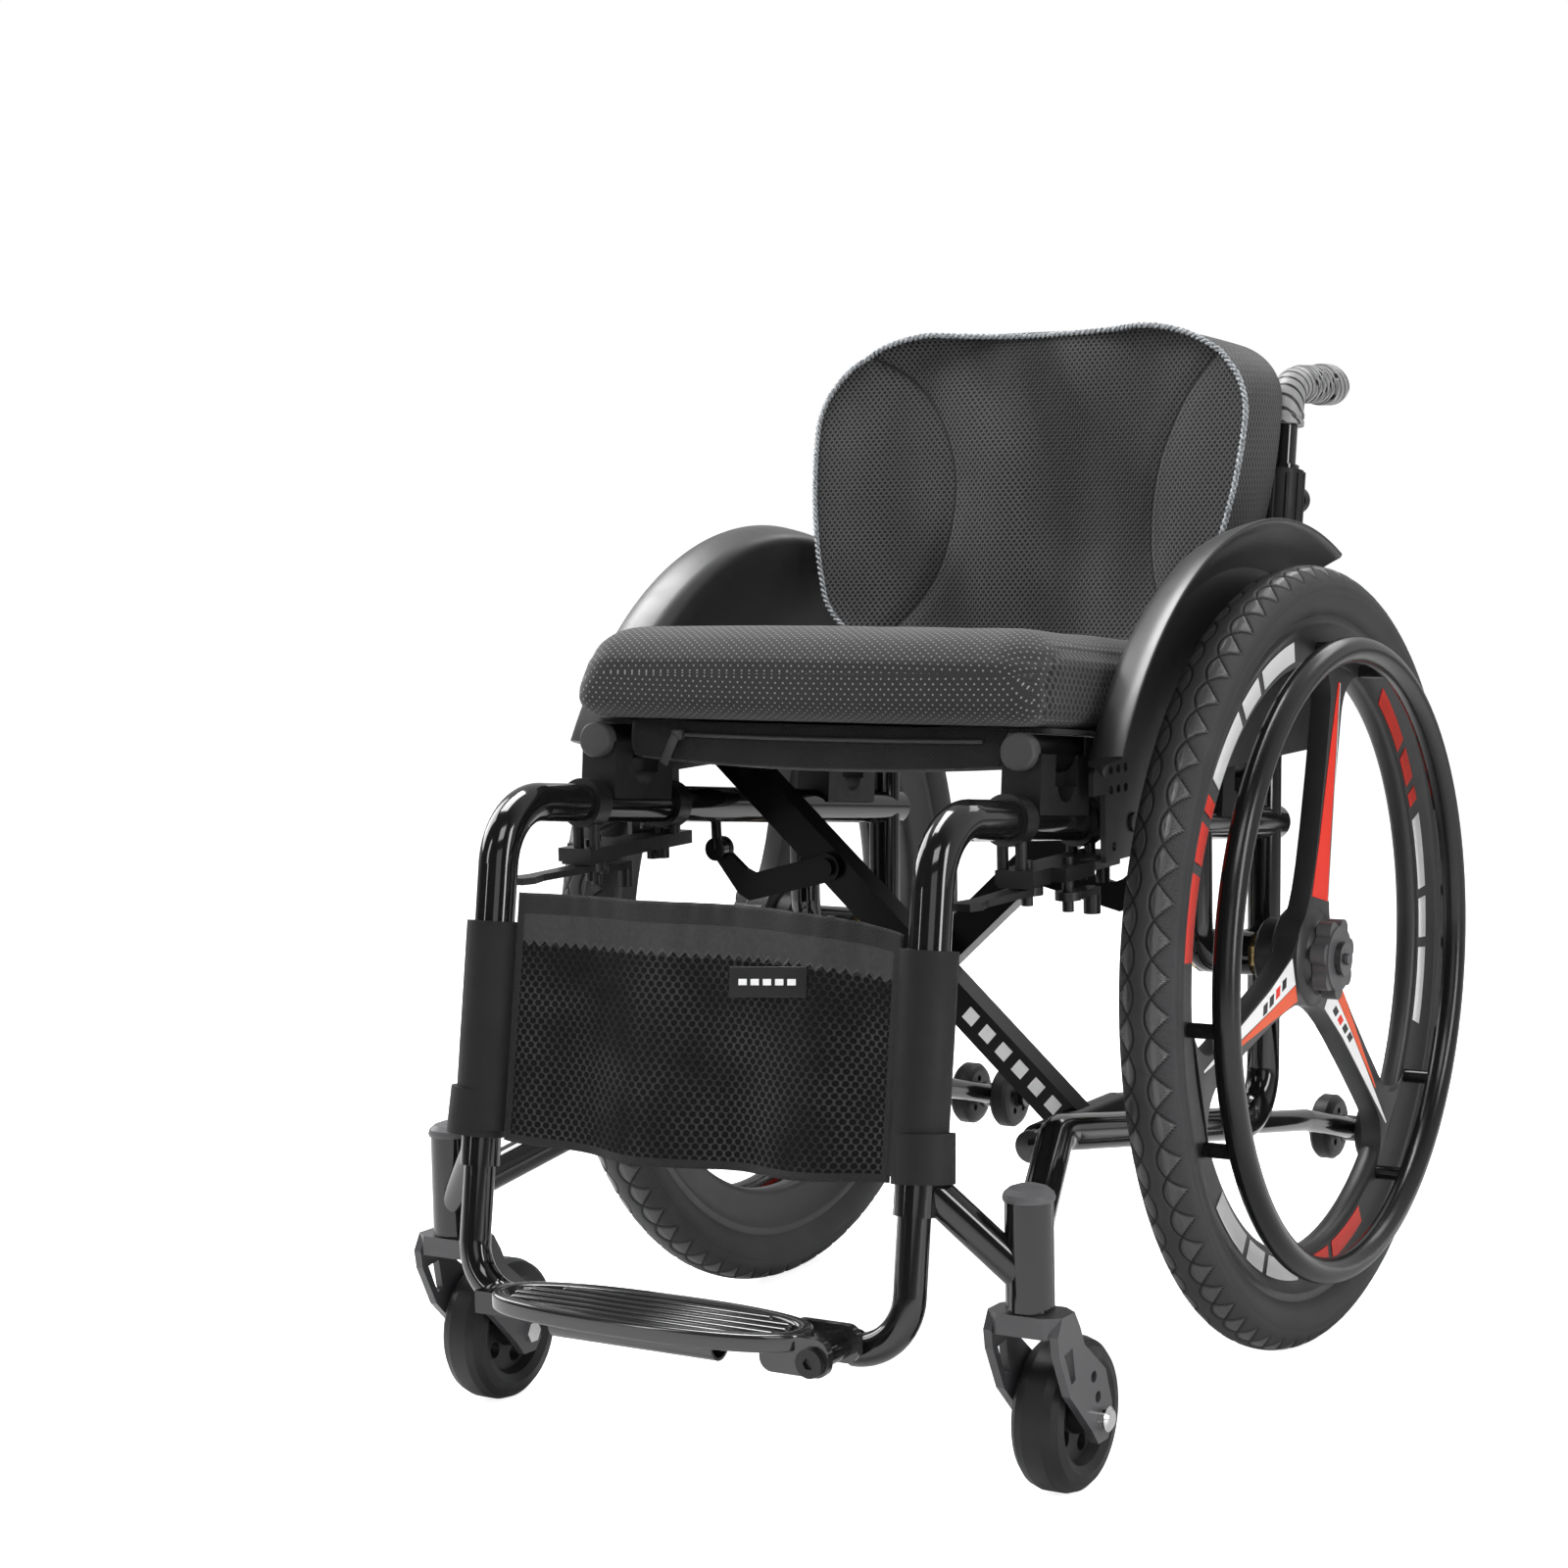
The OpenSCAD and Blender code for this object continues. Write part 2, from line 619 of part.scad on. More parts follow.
module footplate() {
    z0 = plate_top - plate_t;
    yf = plate_y - 8;
    color([0.06, 0.06, 0.065]) difference() {
        union() {
            translate([plate_x, plate_y, z0]) linear_extrude(plate_t - 2.5)
                polygon(oval(plate_l / 2, plate_d / 2, 0.8, 56));
            for (i = [-3 : 3]) block(plate_x - 104 + abs(i) * 9, plate_x + 96 - abs(i) * 9,
                plate_y + 9 * i - 2.4, plate_y + 9 * i + 2.4, plate_top - 4, plate_top);
            block(100, hinge_x + 12, yf - 4, yf + 2, hinge_z - 10, plate_top - 2);
            block(100, hinge_x + 12, plate_y + 26, plate_y + 32, hinge_z - 10, plate_top - 2);
            block(86, 118, yf - 4, plate_y + 32, z0, plate_top - 2);
            block(plate_x - 62, plate_x + 66, plate_y - 26, plate_y - 8, z0 - 9, z0 + 1);
        }
        pin_y(hinge_x, yf - 10, plate_y + 40, hinge_z, 7 + run);
        block(plate_x - 60, plate_x + 80, plate_y - 23, plate_y - 11, z0 - 7, z0 - 1);
    }
}

module footplate_bolt() {
    color([0.2, 0.2, 0.2]) difference() {
        pin_y(hinge_x, plate_y - 16.5, plate_y - 12.1, hinge_z, 9.5);
        translate([hinge_x, plate_y - 17, hinge_z]) rotate([-90, 0, 0]) cylinder(h = 3, r = 4, $fn = 6);
    }
}

// Seat cloth that lies over the two seat tubes, with its deep front band.
module seat_sling() {
    top = seat_rise + seat_tube_r + gap;
    color([0.08, 0.08, 0.08]) translate([0, -150, rail_z(-150)]) rotate([-seat_slope, 0, 0]) {
        translate([0, 186, 0]) rotate([90, 0, 0]) linear_extrude(372)
            polygon([[-187, top], [-158, top], [-90, top - 4], [0, top - 6], [90, top - 4],
                [158, top], [187, top], [187, top + 4], [-187, top + 4]]);
        translate([0, -156, 0]) rotate([90, 0, 0]) linear_extrude(34)
            polygon([[-155, top + 1], [-151, top - 22], [-80, top - 26], [0, top - 28],
                [80, top - 26], [151, top - 22], [155, top + 1]]);
    }
}

// Rectangle with rounded corners, 12 points to each corner and the side after it.
function rounded(a, b, c) = [for (k = [0 : 3]) each let (sx = [1, -1, -1, 1, 1], sy = [1, 1, -1, -1, 1],
    o = [sx[k] * (a - c), sy[k] * (b - c)], q = [sx[k + 1] * (a - c), sy[k + 1] * (b - c)],
    w = 90 * k + 90, n = c * [cos(w), sin(w)]) concat([for (i = [0 : 6]) o + c * [cos(w - 90 + 15 * i),
    sin(w - 90 + 15 * i)]], [for (i = [1 : 5]) o + n + (q - o) * i / 6])];

// Closed cushion form from rings that run from the bottom middle over the edge to the top middle.
module pillow(a, b, c, rings) {
    n = 48;
    m = len(rings);
    pts = [for (k = [0 : m - 1]) let (o = rounded(a * rings[k][0], b * rings[k][0], c * rings[k][0]))
        for (i = [0 : n - 1]) [o[i][0], o[i][1], rings[k][1] + rings[k][2] * (1 - pow(o[i][0] / a, 2)
            * 0.5 - pow(o[i][1] / b, 2) * 0.5)]];
    faces = [for (k = [0 : m - 2]) for (i = [0 : n - 1]) let (j = (i + 1) % n) each
        [[k * n + i, (k + 1) * n + i, (k + 1) * n + j], [k * n + i, (k + 1) * n + j, k * n + j]]];
    polyhedron(concat(pts, [[0, 0, rings[0][1] + rings[0][2]], [0, 0, rings[m - 1][1] + rings[m - 1][2]]]),
        concat(faces, [for (i = [0 : n - 1]) [m * n, i, (i + 1) % n]],
            [for (i = [0 : n - 1]) [m * n + 1, (m - 1) * n + (i + 1) % n, (m - 1) * n + i]]));
}

module seat_cushion() {
    z0 = seat_rise + seat_tube_r + gap + 4.4;
    t = cushion_t;
    color([0.1, 0.1, 0.1]) translate([0, -165, rail_z(-165)]) rotate([-seat_slope, 0, 0])
        translate([0, 0, z0]) pillow(cushion_half, 202, 27, [[0.5, 0, 0], [0.9, 0, 0], [0.955, 3, 0],
            [0.985, t * 0.18, 0], [1, t * 0.4, 0], [0.993, t * 0.6, 0], [0.97, t * 0.77, 1],
            [0.93, t * 0.88, 2], [0.85, t * 0.94, 3], [0.6, t * 0.95, 4], [0.3, t * 0.95, 4]]);
}

// Back pad: front face dished between two side bolsters, with a deep gusset behind.
pad_low = 541;
pad_h = back_top - pad_low;
function pad_half(z) = 190 - 0.00125 * pow(max(0, 715 - z), 2);
// Amount by which the outline is drawn in at the rounded top and bottom corners.
function pad_round(z) = let (a = min(48, max(0, z - back_top + 48)), b = min(40, max(0, pad_low + 40 - z)))
    88 - sqrt(48 * 48 - a * a) - sqrt(40 * 40 - b * b);
function pad_row(z, n, s, y, dish) = [for (i = [0 : n]) let (u = -1 + 2 * i / n)
    [(pad_half(z) - pad_round(z)) * s * u, y + dish * (1 - pow(abs(u), 3)), z]];

module back_pad() {
    n = 20;
    m = 16;
    function row_z(k) = pad_low + pad_h * (0.5 - 0.5 * cos(180 * k / m));
    front = [for (k = [0 : m]) each pad_row(row_z(k), n, 1, -33 + (row_z(k) - 553) * 0.26, 16)];
    // The back face is a little smaller and lower at its top edge.
    function low(k) = 12 * pow((row_z(k) - pad_low) / pad_h, 4);
    back = [for (k = [0 : m]) [for (p = pad_row(row_z(k), n, 0.935, on_post(row_z(k))[1] - 19.2, -8))
        p - [0, 0, low(k)]]];
    w = n + 1;
    c = w * (m + 1);
    ff = [for (k = [0 : m - 1]) for (i = [0 : n - 1]) each
        [[k * w + i, (k + 1) * w + i, (k + 1) * w + i + 1],
        [k * w + i, (k + 1) * w + i + 1, k * w + i + 1]]];
    fb = [for (f = ff) [f[0] + c, f[2] + c, f[1] + c]];
    side = [for (k = [0 : m - 1]) each [[k * w, k * w + c, (k + 1) * w + c], [k * w, (k + 1) * w + c,
        (k + 1) * w], [k * w + n, (k + 1) * w + n + c, k * w + n + c], [k * w + n, (k + 1) * w + n,
        (k + 1) * w + n + c]]];
    ends = [for (i = [0 : n - 1]) each [[i, i + 1, i + 1 + c], [i, i + 1 + c, i + c],
        [m * w + i, m * w + i + 1 + c, m * w + i + 1], [m * w + i, m * w + i + c, m * w + i + 1 + c]]];
    color([0.11, 0.11, 0.11])
        polyhedron(concat(front, [for (r = back) each r]), concat(ff, fb, side, ends));
}

// Net pouch between the two front sleeves, with hanging folds.
module calf_pouch() {
    n = 30;
    m = 8;
    half = rail_x - 19.5 - gap;
    function wave(u, v) = 5 * sin(430 * u + 60 * v) * (0.35 + 0.65 * (1 - v)) * (1 - pow(abs(u), 4))
        - 6 * (1 - u * u) * (1 - v);
    function row(v, d) = [for (i = [0 : n]) let (u = -1 + 2 * i / n, z0 = 214 + 4 * u * u,
        z1 = 389 - 12 * pow(max(0, u), 3), z = z0 + (z1 - z0) * v)
        [half * u, down_y(z) + wave(u, v) + d, z]];
    front = [for (k = [0 : m]) each row(k / m, -3)];
    back = [for (k = [0 : m]) each row(k / m, 3)];
    w = n + 1;
    c = w * (m + 1);
    ff = [for (k = [0 : m - 1]) for (i = [0 : n - 1]) each
        [[k * w + i, (k + 1) * w + i, (k + 1) * w + i + 1],
        [k * w + i, (k + 1) * w + i + 1, k * w + i + 1]]];
    fb = [for (f = ff) [f[0] + c, f[2] + c, f[1] + c]];
    side = [for (k = [0 : m - 1]) each [[k * w, k * w + c, (k + 1) * w + c], [k * w, (k + 1) * w + c,
        (k + 1) * w], [k * w + n, (k + 1) * w + n + c, k * w + n + c], [k * w + n, (k + 1) * w + n,
        (k + 1) * w + n + c]]];
    ends = [for (i = [0 : n - 1]) each [[i, i + 1, i + 1 + c], [i, i + 1 + c, i + c],
        [m * w + i, m * w + i + 1 + c, m * w + i + 1], [m * w + i, m * w + i + c, m * w + i + 1 + c]]];
    color([0.09, 0.09, 0.09]) polyhedron(concat(front, back), concat(ff, fb, side, ends));
}

place() left_side_frame();
place() right_side_frame();
place() saddles();  // left_saddles
place() flip() saddles();  // right_saddles
place() mudguard();  // left_mudguard
place() flip() mudguard();  // right_mudguard
place() post_clamp();  // left_post_clamp
place() flip() post_clamp();  // right_post_clamp
place() brake_mount();  // left_brake_mount
place() flip() brake_mount();  // right_brake_mount
place() left_footrest_tube();
place() right_footrest_tube();
place() front_sleeve();  // left_front_sleeve
place() flip() front_sleeve();  // right_front_sleeve
place() axle_mount();  // left_axle_mount
place() flip() axle_mount();  // right_axle_mount
place() antitip_tube();  // left_antitip_tube
place() flip() antitip_tube();  // right_antitip_tube
place() caster_cap();  // left_caster_cap
place() flip() caster_cap();  // right_caster_cap
place() tyre();  // left_tyre
place() flip() tyre();  // right_tyre
place() mag_wheel();  // left_mag_wheel
place() flip() mag_wheel();  // right_mag_wheel
place() hand_rim();  // left_hand_rim
place() flip() hand_rim();  // right_hand_rim
place() hub_knob();  // left_hub_knob
place() flip() hub_knob();  // right_hub_knob
place() axle();  // left_axle
place() flip() axle();  // right_axle
place() axle_button();  // left_axle_button
place() flip() axle_button();  // right_axle_button
place() caster_fork();  // left_caster_fork
place() flip() caster_fork();  // right_caster_fork
place() caster_wheel();  // left_caster_wheel
place() flip() caster_wheel();  // right_caster_wheel
place() caster_axle();  // left_caster_axle
place() flip() caster_axle();  // right_caster_axle
place() brake_lever();  // left_brake_lever
place() flip() brake_lever();  // right_brake_lever
place() brake_shoe();  // left_brake_shoe
place() flip() brake_shoe();  // right_brake_shoe
place() handle_post();  // left_handle_post
place() flip() handle_post();  // right_handle_post
place() push_grip();  // left_push_grip
place() flip() push_grip();  // right_push_grip
place() antitip_wheels();  // left_antitip_wheels
place() flip() antitip_wheels();  // right_antitip_wheels
place() left_fold_link();
place() right_fold_link();
place() brace_a();
place() brace_b();
place() brace_pivot();
place() footplate();
place() footplate_bolt();
place() seat_sling();
place() seat_cushion();
place() back_pad();
place() calf_pouch();
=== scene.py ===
import math

import bmesh
import bpy
from mathutils import Matrix, Vector, noise


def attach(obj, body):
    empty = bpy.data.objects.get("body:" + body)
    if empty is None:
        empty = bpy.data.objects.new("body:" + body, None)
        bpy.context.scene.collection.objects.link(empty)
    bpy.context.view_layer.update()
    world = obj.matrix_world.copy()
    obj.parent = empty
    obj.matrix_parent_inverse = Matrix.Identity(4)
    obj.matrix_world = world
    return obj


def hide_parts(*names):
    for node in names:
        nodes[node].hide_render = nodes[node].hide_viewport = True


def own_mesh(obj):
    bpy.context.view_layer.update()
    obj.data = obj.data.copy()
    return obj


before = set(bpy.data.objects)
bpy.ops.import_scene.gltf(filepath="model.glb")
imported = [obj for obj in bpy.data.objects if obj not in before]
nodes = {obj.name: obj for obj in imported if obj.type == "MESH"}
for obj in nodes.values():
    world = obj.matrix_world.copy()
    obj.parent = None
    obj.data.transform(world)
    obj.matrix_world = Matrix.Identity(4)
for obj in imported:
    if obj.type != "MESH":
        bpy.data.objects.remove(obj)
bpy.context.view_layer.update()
scene = bpy.context.scene
scene.view_settings.view_transform = "Standard"

# Places on the chair are in millimetres: x from its middle, y back from the rear axle, z up from the floor.
# AXLE_Y is where the axle lies in the shared frame, in metres; AXLE_Z is its height in millimetres.
AXLE_Y = 0.1525
AXLE_Z = 300.0
SIDES = (("left", 1), ("right", -1))


def at(x, y, z):
    return Vector((x * 0.001, y * 0.001 + AXLE_Y, z * 0.001))


# Shape of the frame that the soft pieces follow
SEAT_SLOPE = math.radians(6)
SEAT_MIDDLE = -165
SEAT_TUBE_X, SEAT_TUBE_FRONT = 174, -342
SEAT_TUBE_RISE = 46.6 / math.cos(SEAT_SLOPE)
CORNER_Y, CORNER_Z = -467, 451


def rail_z(y):
    return CORNER_Z - (y - CORNER_Y) * math.tan(SEAT_SLOPE)


def front_tube_y(z):
    return CORNER_Y - (CORNER_Z - z) * 0.155


def post_y(z):
    return 80 + (z - 447) * 44 / 241


def on_seat(x, y, z):
    """A point from the seat's own slope, where y = 0 is the middle of the cushion."""
    c, s = math.cos(SEAT_SLOPE), math.sin(SEAT_SLOPE)
    return at(x, SEAT_MIDDLE + y * c + z * s, rail_z(SEAT_MIDDLE) - y * s + z * c)


# Material building


class Finish:
    """A material whose nodes are added one at a time."""

    def __init__(self, name, rough=0.5, metal=0.0, sheen=0.0, specular=0.5):
        self.made = bpy.data.materials.new(name)
        self.made.use_nodes = True
        self.tree = self.made.node_tree
        self.shader = self.tree.nodes["Principled BSDF"]
        self.shader.inputs["Metallic"].default_value = metal
        self.shader.inputs["Roughness"].default_value = rough
        self.shader.inputs["Specular IOR Level"].default_value = specular
        self.shader.inputs["Sheen Weight"].default_value = sheen
        self.shader.inputs["Sheen Roughness"].default_value = 0.5

    def add(self, kind, *values, **settings):
        made = self.tree.nodes.new("ShaderNode" + kind)
        for key, value in settings.items():
            setattr(made, key, value)
        for i, value in enumerate(values):
            self.feed(made.inputs[i], value)
        return made

    def feed(self, socket, value):
        if value is None:
            return
        if isinstance(value, bpy.types.NodeSocket):
            self.tree.links.new(value, socket)
        elif isinstance(value, (tuple, list)) and len(value) == 3 and socket.type == "RGBA":
            socket.default_value = (*value, 1)
        else:
            socket.default_value = value

    def sums(self, operation, a, b=None):
        return self.add("Math", a, b, operation=operation).outputs[0]

    def length(self, a, b):
        squares = [self.sums("MULTIPLY", c, c) for c in (a, b)]
        return self.sums("SQRT", self.sums("ADD", *squares))

    def attribute(self, name):
        return self.add("Attribute", attribute_name=name).outputs["Fac"]

    def place(self):
        return self.add("TexCoord").outputs["Object"]

    def cloth_place(self):
        return self.add("UVMap", uv_map="cloth").outputs[0]

    def grain(self, scale, detail=3.0):
        made = self.add("TexNoise", self.place())
        made.inputs["Scale"].default_value = scale
        made.inputs["Detail"].default_value = detail
        return made.outputs[0]

    def blend(self, share, a, b):
        made = self.tree.nodes.new("ShaderNodeMix")
        made.data_type = "RGBA"
        self.feed(made.inputs[0], share)
        self.feed(made.inputs[6], a)
        self.feed(made.inputs[7], b)
        return made.outputs[2]

    def spread(self, value, low, high, to_low=0.0, to_high=1.0):
        return self.add("MapRange", value, low, high, to_low, to_high).outputs[0]

    def colour(self, value):
        self.feed(self.shader.inputs["Base Color"], value)

    def rough(self, value):
        self.feed(self.shader.inputs["Roughness"], value)

    def relief(self, height, depth):
        made = self.add("Bump")
        made.inputs["Strength"].default_value = 1.0
        made.inputs["Distance"].default_value = depth
        self.feed(made.inputs["Height"], height)
        self.tree.links.new(made.outputs[0], self.shader.inputs["Normal"])

    def rows(self, where, pitch_x, pitch_y):
        """Distance from the nearest dot of a staggered grid, in pitches."""
        parts = self.add("SeparateXYZ", where)
        v = self.sums("DIVIDE", parts.outputs[1], pitch_y)
        row = self.sums("ABSOLUTE", self.sums("FLOOR", v))
        shift = self.sums("MULTIPLY", self.sums("MODULO", row, 2.0), 0.5)
        u = self.sums("ADD", self.sums("DIVIDE", parts.outputs[0], pitch_x), shift)
        a = self.sums("SUBTRACT", self.sums("FRACT", u), 0.5)
        b = self.sums("SUBTRACT", self.sums("FRACT", v), 0.5)
        return self.length(a, self.sums("MULTIPLY", b, pitch_y / pitch_x))


def gloss_black(name, tone, rough, specular=0.5):
    f = Finish(name, rough=rough, specular=specular)
    deep = (tone * 0.9, tone * 0.9, tone * 0.95)
    pale = (tone * 1.1, tone * 1.1, tone * 1.17)
    f.colour(f.blend(f.grain(9.0, 2.0), deep, pale))
    f.rough(f.spread(f.grain(60.0, 5.0), 0.3, 0.7, rough * 0.93, rough * 1.07))
    return f.made


def moulded(name, tone, rough, grain_scale=1400.0, depth=0.00008):
    f = Finish(name, rough=rough, specular=0.3)
    deep, pale = [[tone * share * t for t in (1, 1, 1.04)] for share in (0.8, 1.2)]
    f.colour(f.blend(f.grain(14.0, 4.0), deep, pale))
    f.rough(f.spread(f.grain(40.0, 4.0), 0.3, 0.7, rough * 0.85, rough * 1.15))
    f.relief(f.grain(grain_scale, 2.0), depth)
    return f.made


def bright(name, colour, rough):
    f = Finish(name, rough=rough, metal=1.0)
    f.colour(f.blend(f.grain(120.0, 4.0), [c * 0.85 for c in colour], colour))
    f.rough(f.spread(f.grain(300.0, 3.0), 0.3, 0.7, rough * 0.7, rough * 1.4))
    return f.made


def dotted_knit():
    f = Finish("dotted_knit", rough=0.8, sheen=0.16, specular=0.25)
    where = f.cloth_place()
    dots = f.rows(where, 0.0063, 0.0036)
    mark = f.spread(dots, 0.08, 0.14, 1.0, 0.0)
    knit = f.add("TexWave", wave_type="BANDS", bands_direction="DIAGONAL")
    f.feed(knit.inputs["Vector"], where)
    knit.inputs["Scale"].default_value = 420.0
    knit.inputs["Distortion"].default_value = 1.5
    rub = f.grain(16.0, 3.0)
    ground = f.blend(knit.outputs[1], (0.012, 0.012, 0.013), (0.034, 0.034, 0.036))
    ground = f.blend(f.spread(rub, 0.35, 0.7, 0.0, 0.35), ground, (0.032, 0.032, 0.034))
    f.colour(f.blend(mark, ground, (0.26, 0.26, 0.26)))
    high = f.sums("ADD", f.sums("MULTIPLY", knit.outputs[1], 0.4), f.sums("MULTIPLY", mark, 0.6))
    f.relief(high, 0.0003)
    return f.made


def spacer_mesh(name, pitch, hole, dark, light, arcs=()):
    """Open mesh cloth with painted shade in its folds, read from the fold attribute; arcs are seams as middle
    x, middle z and radius, in mm.
    """
    f = Finish(name, rough=0.7, sheen=0.15, specular=0.25)
    where = f.cloth_place()
    ring = f.rows(where, pitch, pitch * 0.62)
    open_part = f.spread(ring, hole * 0.7, hole, 1.0, 0.0)
    cloud = f.grain(22.0, 3.0)
    thread = f.blend(cloud, light, [c * 1.4 for c in light])
    # Painted shade: the threads darken to 0.3 of their tone where the fold attribute is high, in the pad's
    # sunken folds and towards its +x side.
    thread = f.blend(f.spread(f.attribute("fold"), 0.0, 1.0), thread, [c * 0.3 for c in light])
    shown = f.blend(open_part, thread, dark)
    high = f.sums("SUBTRACT", 1.0, open_part)
    parts = f.add("SeparateXYZ", where)
    for x, z, radius in arcs:
        a = f.sums("SUBTRACT", parts.outputs[0], x * 0.001)
        b = f.sums("SUBTRACT", parts.outputs[1], z * 0.001)
        off = f.sums("ABSOLUTE", f.sums("SUBTRACT", f.length(a, b), radius * 0.001))
        seam = f.spread(off, 0.0005, 0.0022, 1.0, 0.0)
        shown = f.blend(f.sums("MULTIPLY", seam, 0.8), shown, dark)
        high = f.sums("SUBTRACT", high, f.sums("MULTIPLY", seam, 1.5))
    f.colour(shown)
    f.relief(high, 0.0008)
    return f.made


def net_cloth():
    """Net of the pouch, with a plain hem cloth above a zigzag seam."""
    f = Finish("pouch_net", rough=0.5, specular=0.25)
    where = f.cloth_place()
    ring = f.rows(where, 0.0066, 0.0042)
    strand = f.spread(ring, 0.3, 0.4, 0.0, 1.0)
    patch = f.spread(f.grain(14.0, 3.0), 0.38, 0.62)
    thread = f.blend(patch, (0.004, 0.004, 0.0045), (0.042, 0.042, 0.044))
    net = f.blend(strand, (0.0022, 0.0022, 0.0024), thread)
    parts = f.add("SeparateXYZ", where)
    tooth = f.sums("PINGPONG", parts.outputs[0], 0.0042)
    above = f.sums("SUBTRACT", parts.outputs[1], f.sums("ADD", tooth, 0.1385))
    hem = f.spread(above, -0.0002, 0.0004)
    stitch = f.spread(f.sums("ABSOLUTE", above), 0.0006, 0.0013, 1.0, 0.0)
    cloth = f.blend(f.grain(300.0, 2.0), (0.03, 0.03, 0.031), (0.055, 0.055, 0.056))
    f.colour(f.blend(stitch, f.blend(hem, net, cloth), (0.07, 0.07, 0.072)))
    solid = f.sums("MAXIMUM", strand, hem)
    f.rough(f.spread(solid, 0.0, 1.0, 0.9, 0.45))
    f.relief(f.sums("ADD", solid, f.sums("MULTIPLY", stitch, 0.6)), 0.001)
    return f.made


def webbing(name, tone, pitch):
    f = Finish(name, rough=0.7, sheen=0.1, specular=0.25)
    weave = f.rows(f.cloth_place(), pitch, pitch * 0.6)
    pale = (tone * 1.5, tone * 1.5, tone * 1.55)
    deep = (tone * 0.6, tone * 0.6, tone * 0.62)
    f.colour(f.blend(f.spread(weave, 0.2, 0.5), pale, deep))
    f.relief(f.spread(weave, 0.1, 0.5, 1.0, 0.0), 0.0003)
    return f.made


def tyre_rubber():
    f = Finish("tyre_rubber", rough=0.55, specular=0.3)
    parts = f.add("SeparateXYZ", f.add("UVMap", uv_map="tread").outputs[0])
    ribs = f.sums("SINE", f.sums("MULTIPLY", parts.outputs[0], 2 * math.pi * 18))
    far = f.sums("ABSOLUTE", parts.outputs[1])
    zone = f.sums("MULTIPLY", f.spread(far, 11.0, 13.0), f.spread(far, 24.0, 27.0, 1.0, 0.0))
    scale = f.attribute("scale")
    rubber = f.blend(f.grain(30.0, 5.0), (0.026, 0.026, 0.0275), (0.048, 0.048, 0.0505))
    # Painted shade: the rubber goes near black in the tread grooves and wall lines, following the groove
    # attribute.
    f.colour(f.blend(f.spread(f.attribute("groove"), 0.15, 0.75), rubber, (0.003, 0.003, 0.003)))
    f.rough(f.spread(scale, 0.0, 1.0, 0.56, 0.3))
    f.feed(f.shader.inputs["Specular IOR Level"], f.spread(scale, 0.0, 1.0, 0.3, 0.8))
    f.relief(f.sums("ADD", f.sums("MULTIPLY", ribs, zone), f.grain(700.0, 3.0)), 0.00015)
    return f.made


def ribbed_grip():
    """Grey rubber with slanting grooves round the hand grip, the grooves coloured near black as painted
    shade.
    """
    f = Finish("grip_rubber", rough=0.4, specular=0.5)
    parts = f.add("SeparateXYZ", f.place())
    back, up = f.sums("MULTIPLY", parts.outputs[1], 0.9), f.sums("MULTIPLY", parts.outputs[2], 0.5)
    step = f.sums("FRACT", f.sums("DIVIDE", f.sums("ADD", back, up), 0.0082))
    groove = f.spread(f.sums("ABSOLUTE", f.sums("SUBTRACT", step, 0.5)), 0.08, 0.16, 1.0, 0.0)
    shade = f.blend(f.grain(40.0, 3.0), (0.24, 0.24, 0.245), (0.33, 0.33, 0.335))
    # Painted shade: the grooves are coloured near black.
    f.colour(f.blend(groove, shade, (0.02, 0.02, 0.02)))
    f.relief(f.sums("SUBTRACT", 1.0, groove), 0.0012)
    return f.made


def panel_paint(name, colour):
    f = Finish(name, rough=0.45, specular=0.25)
    f.colour(f.blend(f.grain(25.0, 3.0), [c * 0.93 for c in colour], colour))
    return f.made


def thread_cord(name, pale, deep):
    f = Finish(name, rough=0.6, specular=0.3)
    f.colour(f.blend(f.spread(f.grain(500.0, 2.0), 0.3, 0.7), deep, pale))
    return f.made


FRAME = gloss_black("frame_paint", 0.006, 0.1, 0.65)
BRACE = gloss_black("brace_paint", 0.003, 0.3, 0.16)
FORK = gloss_black("fork_paint", 0.06, 0.3, 0.5)
MAG = gloss_black("mag_satin", 0.018, 0.4, 0.5)
HANDRIM = gloss_black("hand_rim_satin", 0.006, 0.24, 0.45)
PLATE = gloss_black("footplate_gloss", 0.02, 0.12, 0.8)
BLACK_STEEL = gloss_black("black_steel", 0.008, 0.34, 0.4)
GUARD = gloss_black("guard_moulding", 0.008, 0.4, 0.9)
SADDLE = moulded("saddle_moulding", 0.007, 0.5)
KNOB = moulded("knob_moulding", 0.08, 0.42)
TUBE_PLUG = moulded("tube_plug", 0.055, 0.5)
SLEEVE = moulded("sleeve_rubber", 0.009, 0.6, 1800.0, 0.0001)
CASTER_GREY = moulded("caster_housing_grey", 0.1, 0.45)
CASTER_TYRE = moulded("caster_tyre", 0.013, 0.45)
GRIP = ribbed_grip()
TYRE = tyre_rubber()
STEEL = bright("axle_steel", (0.62, 0.62, 0.64), 0.3)
DARK_STEEL = bright("axle_cap_steel", (0.16, 0.16, 0.165), 0.35)
CHROME = bright("bolt_chrome", (0.8, 0.8, 0.8), 0.12)
BRASS = bright("nut_brass", (0.62, 0.45, 0.2), 0.32)
WHITE_PANEL = panel_paint("panel_white", (0.93, 0.93, 0.93))
RED_PANEL = panel_paint("panel_red", (0.82, 0.03, 0.012))
ORANGE_PANEL = panel_paint("panel_orange", (0.85, 0.12, 0.045))
DARK_PANEL = panel_paint("panel_dark", (0.02, 0.02, 0.022))
KNIT = dotted_knit()
PAD_ARCS = ((-195, 648, 132), (282, 645, 170))
PAD_MESH = spacer_mesh("pad_spacer_mesh", 0.0046, 0.36, (0.0025, 0.0025, 0.0027),
                       (0.056, 0.056, 0.058), PAD_ARCS)
